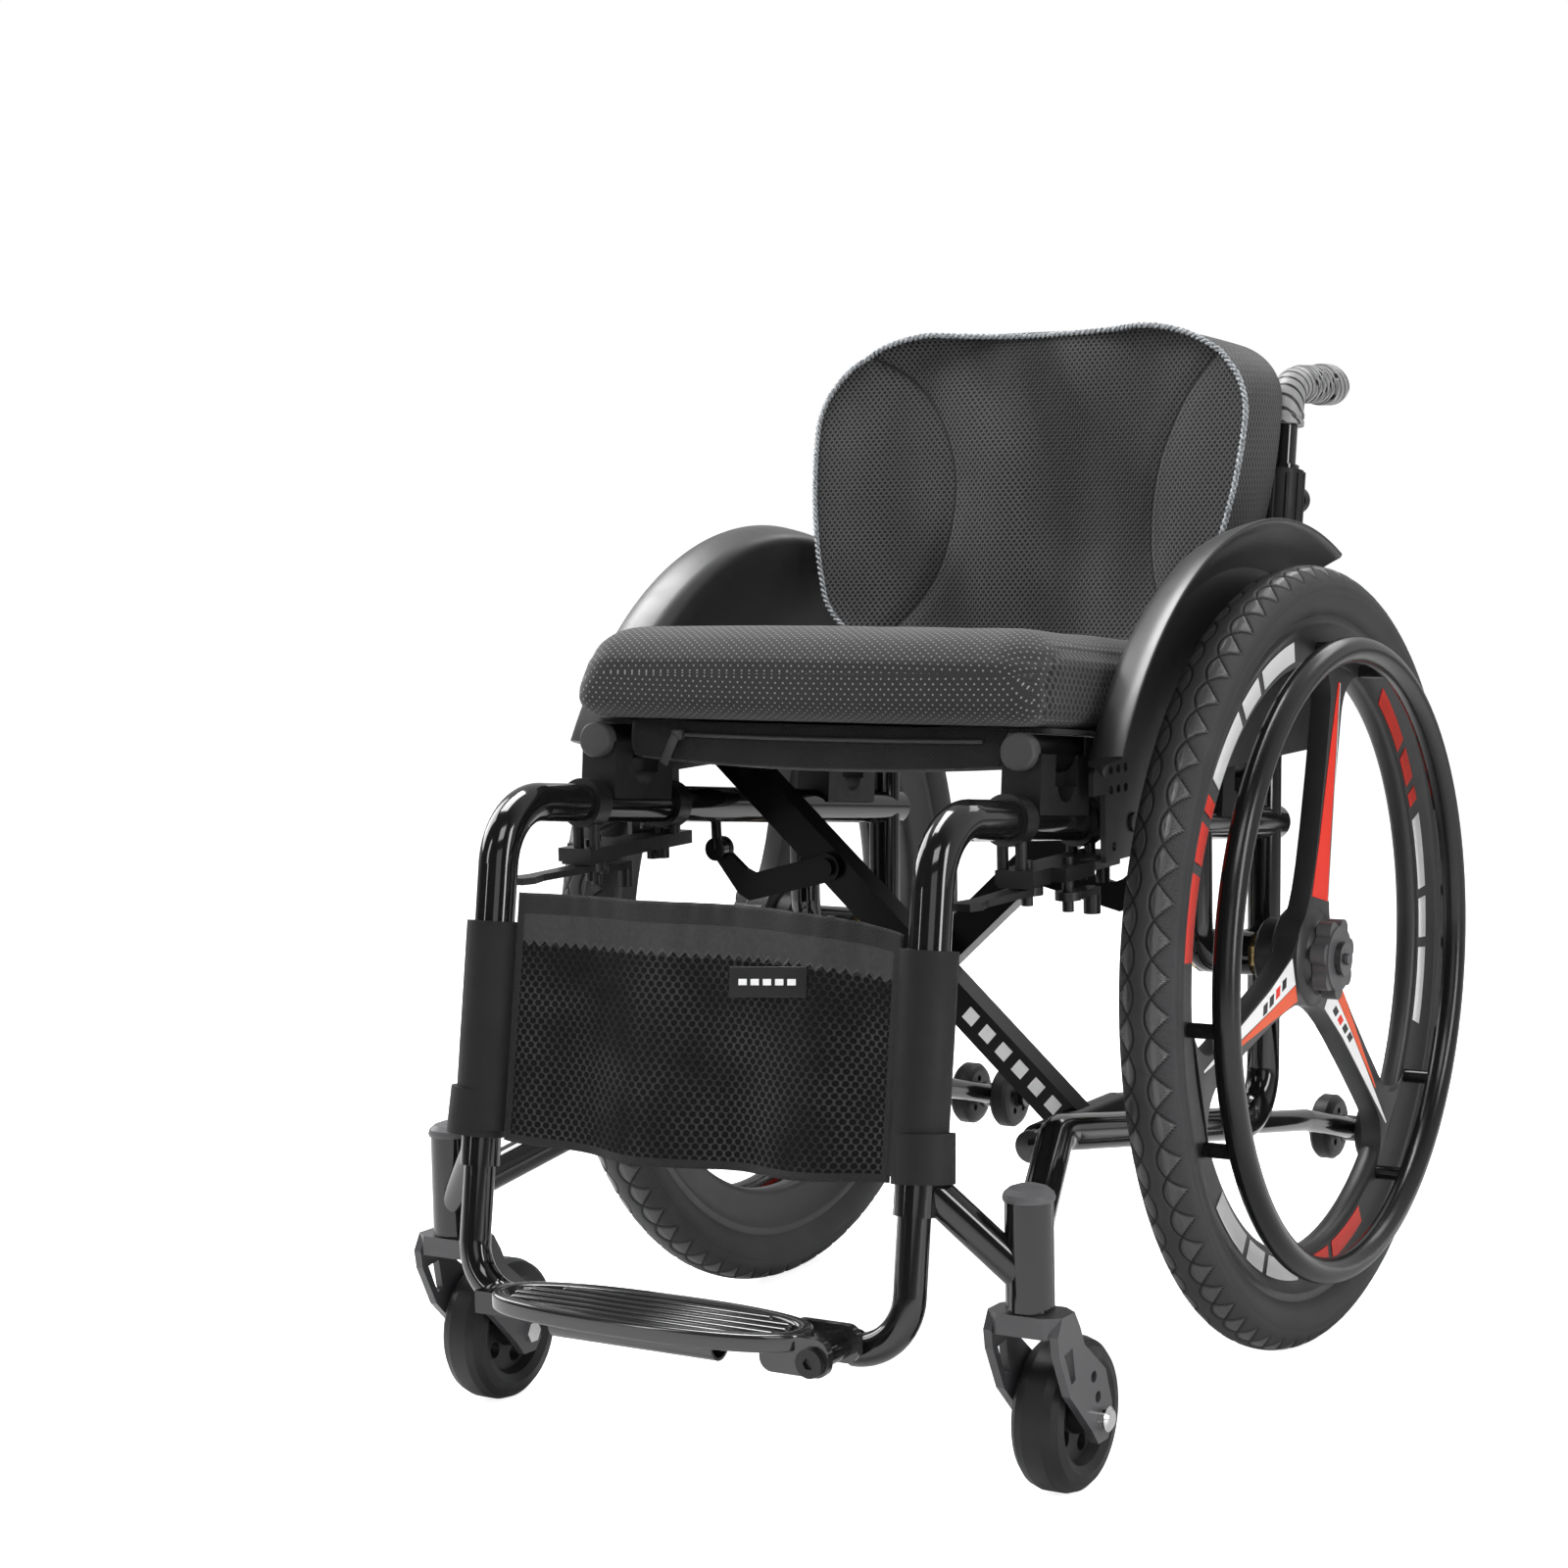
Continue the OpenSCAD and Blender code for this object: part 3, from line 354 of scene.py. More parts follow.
GUSSET_MESH = spacer_mesh("gusset_mesh", 0.0072, 0.36, (0.0015, 0.0015, 0.0015), (0.038, 0.038, 0.039))
NET = net_cloth()
BINDING = webbing("binding_tape", 0.018, 0.0022)
SLING = webbing("seat_webbing", 0.012, 0.003)
BRAID = thread_cord("piping_thread", (0.55, 0.57, 0.59), (0.12, 0.13, 0.14))
BADGE = moulded("badge_rubber", 0.012, 0.45)
ZIP = moulded("zip_puller", 0.05, 0.35)

CAD_FINISH = {
    "side_frame": FRAME, "footrest_tube": FRAME, "antitip_tube": FRAME, "handle_post": FRAME,
    "brace_a": BRACE, "brace_b": BRACE, "fold_link": BRACE, "brace_pivot": STEEL,
    "saddles": SADDLE, "post_clamp": SADDLE, "mudguard": GUARD, "front_sleeve": SLEEVE,
    "brake_mount": BLACK_STEEL, "brake_lever": BLACK_STEEL, "brake_shoe": BLACK_STEEL,
    "tyre": TYRE, "mag_wheel": MAG, "hand_rim": HANDRIM, "hub_knob": KNOB,
    "axle": DARK_STEEL, "axle_button": KNOB, "axle_mount": BRASS,
    "caster_cap": CASTER_GREY, "caster_fork": FORK, "caster_wheel": CASTER_TYRE, "caster_axle": CHROME,
    "antitip_wheels": CASTER_TYRE, "push_grip": GRIP,
    "footplate": PLATE, "footplate_bolt": BLACK_STEEL,
    "seat_sling": SLING, "seat_cushion": KNIT, "back_pad": PAD_MESH, "calf_pouch": NET,
}
for name, node in nodes.items():
    plain = name.removeprefix("left_").removeprefix("right_")
    node.data.materials.clear()
    node.data.materials.append(CAD_FINISH[plain])


# Piece building


def shown_as(name, mesh, body):
    made = bpy.data.objects.new(name, mesh)
    scene.collection.objects.link(made)
    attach(made, body)
    return made


def piece(name, bm, finishes, body, sharp=0, levels=0):
    """Turns a bmesh into a piece; sharp is the angle in degrees past which an edge stays hard."""
    bmesh.ops.remove_doubles(bm, verts=bm.verts[:], dist=1e-6)
    bmesh.ops.recalc_face_normals(bm, faces=bm.faces[:])
    mesh = bpy.data.meshes.new(name)
    bm.to_mesh(mesh)
    bm.free()
    for finish in finishes if isinstance(finishes, (list, tuple)) else [finishes]:
        mesh.materials.append(finish)
    for face in mesh.polygons:
        face.use_smooth = True
    if sharp:
        mesh.set_sharp_from_angle(angle=math.radians(sharp))
    made = shown_as(name, mesh, body)
    if levels:
        smooth = made.modifiers.new("smooth", "SUBSURF")
        smooth.levels = smooth.render_levels = levels
    return made


def new_verts(geom):
    return [g for g in geom if isinstance(g, bmesh.types.BMVert)]


def new_faces(geom):
    return [g for g in geom if isinstance(g, bmesh.types.BMFace)]


def edges_of(verts):
    return list({e for v in verts for e in v.link_edges})


def round_off(bm, edges, by, segments):
    return bmesh.ops.bevel(bm, geom=edges, offset=by, offset_type="OFFSET", segments=segments, profile=0.5,
                           affect="EDGES", material=-1, clamp_overlap=True)


def turn_x(bm, verts, degrees):
    bmesh.ops.rotate(bm, cent=(0, 0, 0), verts=verts, matrix=Matrix.Rotation(math.radians(degrees), 3, "X"))


def spin_x(bm, geom, degrees, steps, merge=False):
    bmesh.ops.spin(bm, geom=geom, cent=(0, 0, 0), axis=(1, 0, 0), angle=math.radians(degrees), steps=steps,
                   use_merge=merge)


def section_ring(bm, section, x_from=0.0):
    """A closed ring of edges from a section's radius and offset along x, in millimetres."""
    ring = [bm.verts.new(((x_from + x) * 0.001, r * 0.001, 0)) for r, x in section]
    return ring, [bm.edges.new((a, b)) for a, b in zip(ring, ring[1:] + ring[:1])]


def put_on_side(bm, sign, y=0.0, z=AXLE_Z):
    """Moves what was formed about the x axis to its place, and mirrors it for the right side."""
    bmesh.ops.translate(bm, vec=at(0, y, z), verts=bm.verts[:])
    if sign < 0:
        bmesh.ops.scale(bm, vec=(-1, 1, 1), verts=bm.verts[:])


def cloth_wall(made, thickness, offset):
    wall = made.modifiers.new("cloth_wall", "SOLIDIFY")
    wall.thickness = thickness
    wall.offset = offset


def cloth_map(bm, place):
    """Writes the cloth's own flat place, in metres, to each corner."""
    layer = bm.loops.layers.uv.new("cloth")
    for face in bm.faces:
        for loop in face.loops:
            loop[layer].uv = place(loop.vert, face)


def tube(name, points, radius, finish, body, closed=False, sides=3):
    """A round bead or cord along points, made a mesh."""
    curve = bpy.data.curves.new(name, "CURVE")
    curve.dimensions = "3D"
    curve.bevel_depth = radius
    curve.bevel_resolution = sides
    curve.use_fill_caps = not closed
    line = curve.splines.new("POLY")
    line.points.add(len(points) - 1)
    for dot, p in zip(line.points, points):
        dot.co = (*p, 1)
    line.use_cyclic_u = closed
    guide = bpy.data.objects.new(name + "_guide", curve)
    scene.collection.objects.link(guide)
    bpy.context.view_layer.update()
    mesh = bpy.data.meshes.new_from_object(guide.evaluated_get(bpy.context.evaluated_depsgraph_get()))
    bpy.data.objects.remove(guide)
    bpy.data.curves.remove(curve)
    mesh.name = name
    mesh.materials.clear()
    mesh.materials.append(finish)
    for face in mesh.polygons:
        face.use_smooth = True
    return shown_as(name, mesh, body)


# Seat cushion
CUSHION_BASE = 63.9
CUSHION_T = 66.0
CUSHION_A, CUSHION_B = 192.0, 202.0


def cushion_form(x, y, z):
    """Turns a point of a cube of half size 1 into the cushion, in seat millimetres, with a rolled front."""
    h = CUSHION_T / 2
    share = min(1.0, max(0.0, z + 0.5))
    share = share * share * (3 - 2 * share)
    side_r, end_r, up_r = [a + (b - a) * share for a, b in ((20.0, 36.0), (20.0, 44.0), (15.0, 30.0))]
    q = Vector((x * CUSHION_A, y * CUSHION_B, z * h))
    inner = Vector((CUSHION_A - side_r, CUSHION_B - end_r, h - up_r))
    core = Vector([max(-i, min(i, c)) for c, i in zip(q, inner)])
    over = Vector(((q.x - core.x) / side_r, (q.y - core.y) / end_r, (q.z - core.z) / up_r))
    if max(abs(c) for c in over) > 0.999:
        over.normalize()
    p = core + Vector((over.x * side_r, over.y * end_r, over.z * up_r))
    middle = max(0.0, 1 - (p.x / CUSHION_A) ** 2) * max(0.0, 1 - (p.y / CUSHION_B) ** 2)
    if z > 0:
        p.z += 6.0 * middle ** 0.7
        p.z += 1.8 * noise.noise(Vector((p.x * 0.012, p.y * 0.016, 3.1))) * middle ** 0.3
    p.y -= 2.5 * math.cos(p.x / CUSHION_A * 1.5) * max(0.0, -y) ** 8
    p.x -= math.copysign(2.5, x) * (1 - y * y) * abs(x) ** 8
    return p.x, p.y, CUSHION_BASE + h + p.z


GUSSET_TOP, GUSSET_FRONT, GUSSET_ROUND = CUSHION_BASE + CUSHION_T - 13, -184.0, 34


def past_seam(y, z):
    """Distance outwards from the seam that edges the mesh panel on each side of the cushion."""
    dy, dz = GUSSET_FRONT + GUSSET_ROUND - y, z - (GUSSET_TOP - GUSSET_ROUND)
    if dy > 0 and dz > 0:
        return math.hypot(dy, dz) - GUSSET_ROUND
    return max(GUSSET_FRONT - y, z - GUSSET_TOP)


def seat_cushion():
    bm = bmesh.new()
    bmesh.ops.create_cube(bm, size=2)
    bmesh.ops.subdivide_edges(bm, edges=bm.edges[:], cuts=47, use_grid_fill=True)
    flat = {}
    for v in bm.verts:
        x, y, z = v.co
        x, y = 0.4 * x + 0.6 * math.sin(x * math.pi / 2), 0.4 * y + 0.6 * math.sin(y * math.pi / 2)
        p = cushion_form(x, y, z)
        if abs(p[0]) > CUSHION_A - 30:
            dip = 1.8 * math.exp(-((past_seam(p[1], p[2]) / 3.5) ** 2))
            p = (p[0] - math.copysign(dip, p[0]), p[1], p[2])
        flat[v] = p
        v.co = on_seat(*p)
    bm.normal_update()
    for face in bm.faces:
        mid = [sum(flat[v][i] for v in face.verts) / 4 for i in range(3)]
        if abs(mid[0]) > CUSHION_A - 34 and past_seam(mid[1], mid[2]) < 0 and mid[2] > CUSHION_BASE + 6:
            face.material_index = 1

    def place(v, face):
        x, y, z = flat[v]
        if face.material_index == 1:
            return (y * 0.001, z * 0.001)
        drop = max(0.0, CUSHION_BASE + CUSHION_T - z)
        if abs(face.normal.x) > 0.75:
            side = math.copysign(0.001, x)
            return (side * (CUSHION_A + y + CUSHION_B), -(CUSHION_B + drop) * 0.001)
        if z < CUSHION_BASE + CUSHION_T / 2 and y < 0:
            return (x * 0.001, (-2 * CUSHION_B - y - drop) * 0.001)
        return (x * 0.001, (y - drop if y < 0 else y + drop) * 0.001)

    cloth_map(bm, place)
    made = piece("seat_cushion_cover", bm, [KNIT, GUSSET_MESH], "seat", levels=1)
    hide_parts("seat_cushion")
    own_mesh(made)


seat_cushion()


# Back pad
PAD_LOW, PAD_TOP = 541.0, 788.0
PAD_LOW_CORNER = 40.0


def pad_half(z, reach, drop):
    """Half width of the pad; its top corners are ovals of a reach across and a drop down."""
    half = 190 - 0.00125 * max(0.0, 715 - z) ** 2
    a = min(1.0, max(0.0, (z - PAD_TOP + drop) / drop))
    b = min(PAD_LOW_CORNER, max(0.0, PAD_LOW + PAD_LOW_CORNER - z))
    low_cut = PAD_LOW_CORNER - math.sqrt(PAD_LOW_CORNER ** 2 - b * b)
    return half - reach + reach * math.sqrt(1 - a * a) - low_cut


def bolster_groove(x, z):
    """How deep the two arc seams sink at a point of the front."""
    off = min(abs(math.hypot(x - mid_x, z - mid_z) - radius) for mid_x, mid_z, radius in PAD_ARCS)
    return math.exp(-((off / 6.0) ** 2))


def pad_fold(x, z):
    """Soft slanting folds of the loose cloth between the bolsters, positive where it sinks."""
    slant = x + 0.35 * (z - 660)
    wide = noise.noise(Vector((slant * 0.014, z * 0.0055, 8.0)))
    fine = noise.noise(Vector((slant * 0.028, z * 0.012, 2.0)))
    return wide + 0.4 * fine


def pad_form(u, w, v):
    """Turns a point of a cube of half size 1 into the pad: u across, w from front to back, v up."""
    z = (PAD_LOW + PAD_TOP) / 2 + (PAD_TOP - PAD_LOW) / 2 * (0.35 * v + 0.65 * math.sin(v * math.pi / 2))
    back = (w + 1) / 2
    x = pad_half(z, 100 - 35 * back, 75 - 15 * back) * u * (1 - 0.065 * back)
    dish = 1 - abs(u) ** 3
    front_y = -33 + (z - 553) * 0.26 + 16 * dish
    back_y = post_y(z) - 19.4 - 8 * dish
    y = front_y + (back_y - front_y) * back
    z -= 12 * back * ((z - PAD_LOW) / (PAD_TOP - PAD_LOW)) ** 4
    if back < 0.02:
        y += 3.5 * bolster_groove(x, z)
        y += 9.0 * pad_fold(x, z) * dish ** 2
        z -= 3.5 * (1 - u * u) * max(0.0, v) ** 6
        swell = math.exp(-(((abs(u) - 0.78) / 0.18) ** 2)) * 5
        y -= swell * max(0.0, 1 - abs((z - 655) / 115) ** 2.5)
    elif abs(u) > 0.99:
        x += math.copysign(1, u) * 2.0 * math.sin(math.pi * back)
    return x, y, z


def back_pad():
    bm = bmesh.new()
    bmesh.ops.create_cube(bm, size=2)
    bmesh.ops.subdivide_edges(bm, edges=bm.edges[:], cuts=55, use_grid_fill=True)
    fold = bm.verts.layers.float.new("fold")
    flat = {}
    for v in bm.verts:
        # Painted shade for the cloth colour, kept in the fold attribute: darker over the middle of the pad,
        # more so where the slanting folds sink, and darker towards its +x side.
        middle = max(0.0, 1 - abs(v.co.x / 0.72) ** 4)
        p = pad_form(*v.co)
        shade = middle * (0.45 + 1.7 * pad_fold(p[0], p[2])) + 0.25 * max(0.0, v.co.x)
        v[fold] = min(1.0, max(0.0, shade))
        flat[v] = p
        v.co = at(*p)
    bm.normal_update()
    for face in bm.faces:
        if face.normal.y > -0.6:
            face.material_index = 1

    def place(v, face):
        x, y, z = flat[v]
        if face.material_index == 0 or face.normal.y > 0.6:
            return (x * 0.001, z * 0.001)
        if abs(face.normal.x) > 0.6:
            return (y * 0.001, z * 0.001)
        return (x * 0.001, y * 0.001)

    cloth_map(bm, place)
    made = piece("back_pad_cover", bm, [PAD_MESH, GUSSET_MESH], "left_frame", levels=1)
    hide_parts("back_pad")
    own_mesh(made)


back_pad()


def pad_outline(steps):
    """Points round the front edge of the back pad, and the length of the line up to each."""
    line = []
    for i in range(steps):
        t = i / steps * 4
        side, s = int(t), t - int(t)
        u, v = [(-1 + 2 * s, -1), (1, -1 + 2 * s), (1 - 2 * s, 1), (-1, 1 - 2 * s)][side]
        line.append(at(*pad_form(u, -1, v)))
    lengths = [0.0]
    for a, b in zip(line, line[1:] + line[:1]):
        lengths.append(lengths[-1] + (b - a).length)
    return line, lengths


def even_line(line, lengths, count):
    """The same closed line with points an even distance apart."""
    whole, out, i = lengths[-1], [], 0
    for k in range(count):
        want = whole * k / count
        while lengths[i + 1] < want:
            i += 1
        share = (want - lengths[i]) / max(1e-9, lengths[i + 1] - lengths[i])
        out.append(line[i].lerp(line[(i + 1) % len(line)], share))
    return out


def piping():
    """Two pale strands twisted round the front edge of the back pad."""
    line, lengths = pad_outline(800)
    path = even_line(line, lengths, 1500)
    turns = round(lengths[-1] / 0.0096)
    for strand in range(2):
        dots = []
        for i, p in enumerate(path):
            ahead = (path[(i + 1) % len(path)] - path[i - 1]).normalized()
            side = ahead.cross(Vector((0, 1, 0))).normalized()
            out = side.cross(ahead)
            angle = 2 * math.pi * (turns * i / len(path) + strand / 2)
            twist = (side * math.cos(angle) + out * math.sin(angle)) * 0.0013
            dots.append(p + Vector((0, -0.0008, 0)) + twist)
        made = tube(f"pad_piping_{strand + 1}", dots, 0.0012, BRAID, "left_frame",
                    closed=True, sides=1)
        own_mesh(made)


piping()


# Calf pouch
POUCH_HALF = 154.1


def pouch_form(u, v):
    """Pouch from side to side (u) and bottom to top (v), in millimetres, with loose waves."""
    low = 214 + 4 * u * u
    top = 389 - 12 * max(0.0, u) ** 3
    z = low + (top - low) * v
    wave = 7 * math.sin(math.radians(430 * u + 60 * v)) * (0.35 + 0.65 * (1 - v)) * (1 - abs(u) ** 4)
    wave -= 6 * (1 - u * u) * (1 - v)
    wave += 3.0 * noise.noise(Vector((u * 3.2, v * 2.4, 1.7))) * (1 - abs(u) ** 6)
    gather = max(0.0, (v - 0.8) / 0.2)
    wave += 0.7 * math.sin(u * 40 + 2 * math.sin(u * 9)) * gather * (1 - abs(u) ** 8)
    return u * POUCH_HALF, front_tube_y(z) + wave, z


def cloth_sheet(form, across, along, width, height):
    """A sheet formed from u (-1 to 1) across and v (0 to 1) along, mapped flat at a size in metres."""
    bm = bmesh.new()
    bmesh.ops.create_grid(bm, x_segments=across, y_segments=along, size=1)
    flat = {}
    for v in bm.verts:
        flat[v] = (v.co.x, (v.co.y + 1) / 2)
        v.co = form(*flat[v])
    cloth_map(bm, lambda v, face: (flat[v][0] * width / 2, flat[v][1] * height))
    return bm, flat


def calf_pouch():
    bm, flat = cloth_sheet(lambda u, v: at(*pouch_form(u, v)), 150, 60, 0.3082, 0.175)
    for face in bm.faces:
        u, w = [sum(flat[v][i] for v in face.verts) / 4 for i in range(2)]
        if w > 0.915 or w < 0.035 or abs(u) > 0.965:
            face.material_index = 1
    made = piece("calf_pouch_net", bm, [NET, BINDING], "left_frame")
    cloth_wall(made, 0.0012, 0)
    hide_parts("calf_pouch")
    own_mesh(made)


calf_pouch()


# Seat cloth


def sling_form(u, v):
    """Seat cloth from side to side (u) and front to back (v), in seat millimetres."""
    sag = -5 * max(0.0, 1 - (u / 0.6) ** 2)
    return u * 187, -171 + 372 * v, 61.6 + sag


def band_form(u, v):
    """Front band of the seat cloth: down the front and back under itself."""
    low = 36.5 - 5.5 * (1 - u * u)
    x = u * (155 - 4 * v)
    fold = 1.2 * math.sin(u * 17 + 3 * v) * math.sin(math.pi * min(1, v * 1.6))
    if v < 0.6:
        s = v / 0.6
        return x, -171 - 3.5 * math.sin(math.pi * s) + fold, 62.0 + (low - 62.0) * s
    s = (v - 0.6) / 0.4
    return x, -171 + 28 * s + fold * (1 - s), low - 2.0 * math.sin(math.pi * s)


def seat_sling():
    bm, _ = cloth_sheet(lambda u, v: on_seat(*sling_form(u, v)), 60, 60, 0.374, 0.372)
    made = piece("seat_cloth", bm, SLING, "seat")
    cloth_wall(made, 0.0036, 0)
    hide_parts("seat_sling")
    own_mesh(made)
    bm, _ = cloth_sheet(lambda u, v: on_seat(*band_form(u, v)), 90, 30, 0.306, 0.057)
    band = piece("seat_front_band", bm, SLING, "seat")
    cloth_wall(band, 0.0024, -1)
    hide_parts("seat_sling")
    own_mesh(band)


seat_sling()


# Rear wheels
WHEEL_X = 237.0
TYRE_R, TYRE_WIDE, TYRE_HIGH = 278, 22, 21.6
TREAD_SCALES = 70
SCALE_LENGTH = 26.9
SCALE_START, SCALE_RISE = 4.2, 19.0
WALL_LINES = ((30.5, 0.35), (33.5, 0.3), (42.0, 0.5))
SPOKE_TURN = 76.0
SPOKE_BACK, SPOKE_DEPTH, PANEL_X = 0.2305, 0.0165, 0.24712


def tread_at(p, s):
    """Groove depth and raised scale of the tread, at p scales round and s millimetres from the crown."""
    half = 0.0 if s > 0 else 0.5
    s = abs(s)
    near = math.floor(p + half + 0.5)
    deep = 0.0
    for n in (near - 1, near, near + 1):
        q = abs(p + half - n)
        if q > 1.04:
            continue
        line = SCALE_START + SCALE_RISE * q * q
        slope = 2 * SCALE_RISE * q / SCALE_LENGTH
        off = abs(s - line) / math.sqrt(1 + slope * slope)
        fade = min(1.0, (1.04 - q) / 0.12)
        deep = max(deep, fade * math.exp(-((off / 0.75) ** 2)))
        if q < 0.4:
            deep = max(deep, 0.4 * (1 - q / 0.4) * math.exp(-(((s - line - 2.6) / 0.6) ** 2)))
    q = abs(p + half - near)
    inside = min(s - SCALE_START - SCALE_RISE * q * q, SCALE_START + SCALE_RISE * (1 - q) ** 2 - s)
    scale = min(1.0, max(0.0, (inside - 0.8) / 1.6))
    for line, amount in WALL_LINES:
        deep = max(deep, amount * math.exp(-(((s - line) / 0.5) ** 2)))
    return deep, scale * max(0.0, 1 - deep)


def tread_mesh():
    """The left tyre: a round section spun about the axle, cut finer between scales, then grooved."""
    bm = bmesh.new()
    across = bm.verts.layers.float.new("across")
    groove = bm.verts.layers.float.new("groove")
    scale = bm.verts.layers.float.new("scale")
    tread, wall = [0.04 * i for i in range(1, 28)], [1.08 + 0.1 * i for i in range(1, 12)]
    right_half = tread + wall + [2.35, 2.55, 2.75, 2.95]
    profile = []
    for t in [-t for t in reversed(right_half)] + [0.0] + right_half:
        v = bm.verts.new(at(WHEEL_X + TYRE_WIDE * math.sin(t), TYRE_R + TYRE_HIGH * math.cos(t), AXLE_Z))
        v[across] = t
        profile.append(v)
    for a, b in zip(profile, profile[1:] + profile[:1]):
        bm.edges.new((a, b))
    bmesh.ops.spin(bm, geom=bm.verts[:] + bm.edges[:], cent=at(0, 0, AXLE_Z), axis=(1, 0, 0),
                   angle=2 * math.pi, steps=TREAD_SCALES, use_merge=True)
    round_edges = [e for e in bm.edges if abs(e.verts[0][across] - e.verts[1][across]) < 1e-4]
    bmesh.ops.subdivide_edges(bm, edges=round_edges, cuts=15, use_grid_fill=True)
    spread = {}
    for v in bm.verts:
        turn, t = math.atan2(v.co.z - AXLE_Z * 0.001, v.co.y - AXLE_Y), v[across]
        p, s = turn / (2 * math.pi) * TREAD_SCALES, t * TYRE_WIDE
        spread[v] = (p, s)
        v[groove], v[scale] = tread_at(p, s)
        lift = 0.35 + 0.12 * v[scale] - 1.35 * v[groove]
        x, r = WHEEL_X + (TYRE_WIDE + lift) * math.sin(t), TYRE_R + (TYRE_HIGH + lift) * math.cos(t)
        v.co = at(x, r * math.cos(turn), AXLE_Z + r * math.sin(turn))
    layer = bm.loops.layers.uv.new("tread")
    for face in bm.faces:
        first = spread[face.verts[0]][0]
        for loop in face.loops:
            p, s = spread[loop.vert]
            loop[layer].uv = (p + TREAD_SCALES * round((first - p) / TREAD_SCALES), s)
    return bm


def rear_tyres():
    left = tread_mesh()
    right = left.copy()
    bmesh.ops.scale(right, vec=(-1, 1, 1), verts=right.verts[:])
    for side, bm in (("left", left), ("right", right)):
        made = piece(side + "_tread_tyre", bm, TYRE, side + "_wheel")
        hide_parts(side + "_tyre")


def spoke_outline():
    """Half of a spoke's outline, as distance along and half width, with its flare at each end."""
    half = [(16, 34), (22, 30), (29, 26), (38, 22), (50, 18.6), (68, 15.6), (95, 13.6), (140, 12.0),
            (178, 11.6), (192, 11.7)]
    for i in range(1, 10):
        a = math.radians(10 * i)
        half.append((192 + 34 * math.sin(a), 11.7 + 34 * (1 - math.cos(a))))
    return half


RIM_SECTION = [(263, -15), (263, 15), (256.5, 15), (255.5, 14.4), (248, 9.6), (230, 9.2), (226.4, 7.5),
               (224.4, 4.5), (224, 0), (224.4, -4.5), (226.4, -7.5), (230, -9.2), (248, -9.6),
               (255.5, -14.4), (256.5, -15)]
HUB_SECTION = [(7, -29), (27, -29), (29, -27), (29, -13), (36, -12), (38, -10), (38, 9.5), (35, 12.6),
               (30, 14), (29, 15), (27.5, 17.4), (7, 17.4)]


def mag_wheel(side, sign):
    """Three flared spokes between a dished rim and a stepped hub."""
    bm = bmesh.new()
    half = spoke_outline()
    for i in range(3):
        line = half + [(a, -w) for a, w in reversed(half)]
        ring = [bm.verts.new((SPOKE_BACK, a * 0.001, w * 0.001)) for a, w in line]
        bm.faces.new(ring)
        turn_x(bm, ring, SPOKE_TURN + 120 * i)
    grown = bmesh.ops.extrude_face_region(bm, geom=bm.faces[:])["geom"]
    bmesh.ops.translate(bm, vec=(SPOKE_DEPTH, 0, 0), verts=new_verts(grown))
    bmesh.ops.recalc_face_normals(bm, faces=bm.faces[:])
    flat = [e for e in bm.edges if abs(e.verts[0].co.x - e.verts[1].co.x) < 1e-6]
    round_off(bm, [e for e in flat if len(e.link_faces) == 2 and e.calc_face_angle(0) > 1.2], 0.003, 3)
    for section, steps in ((RIM_SECTION, 144), (HUB_SECTION, 72)):
        ring, chain = section_ring(bm, section, WHEEL_X)
        spin_x(bm, ring + chain, 360, steps, merge=True)
    put_on_side(bm, sign)
    made = piece(side + "_spoked_wheel", bm, MAG, side + "_wheel", sharp=40)
    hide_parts(side + "_mag_wheel")


def flat_panel(bm, outline, turn, finish, rise=0.0):
    """A thin painted panel on a spoke, from its outline along and across the spoke."""
    ring = [bm.verts.new((PANEL_X + rise, a * 0.001, w * 0.001)) for a, w in outline]
    face = bm.faces.new(ring)
    face.material_index = finish
    fresh = new_verts(bmesh.ops.extrude_face_region(bm, geom=[face])["geom"])
    bmesh.ops.translate(bm, vec=(0.0003, 0, 0), verts=fresh)
    turn_x(bm, ring + fresh, turn)


PANEL_PAINTS = [WHITE_PANEL, RED_PANEL, ORANGE_PANEL, DARK_PANEL]
WHITE, RED, ORANGE, DARK = range(4)
RIM_DASH = ((231.5, 9.5), (246.5, 9.85), (246.5, 10.15), (231.5, 9.8))
RIM_DASHES = ((37, 22, RED), (20, 13, RED), (11, 8, RED),
              (5, -10, WHITE), (-12, -20, WHITE), (-22, -37, WHITE))


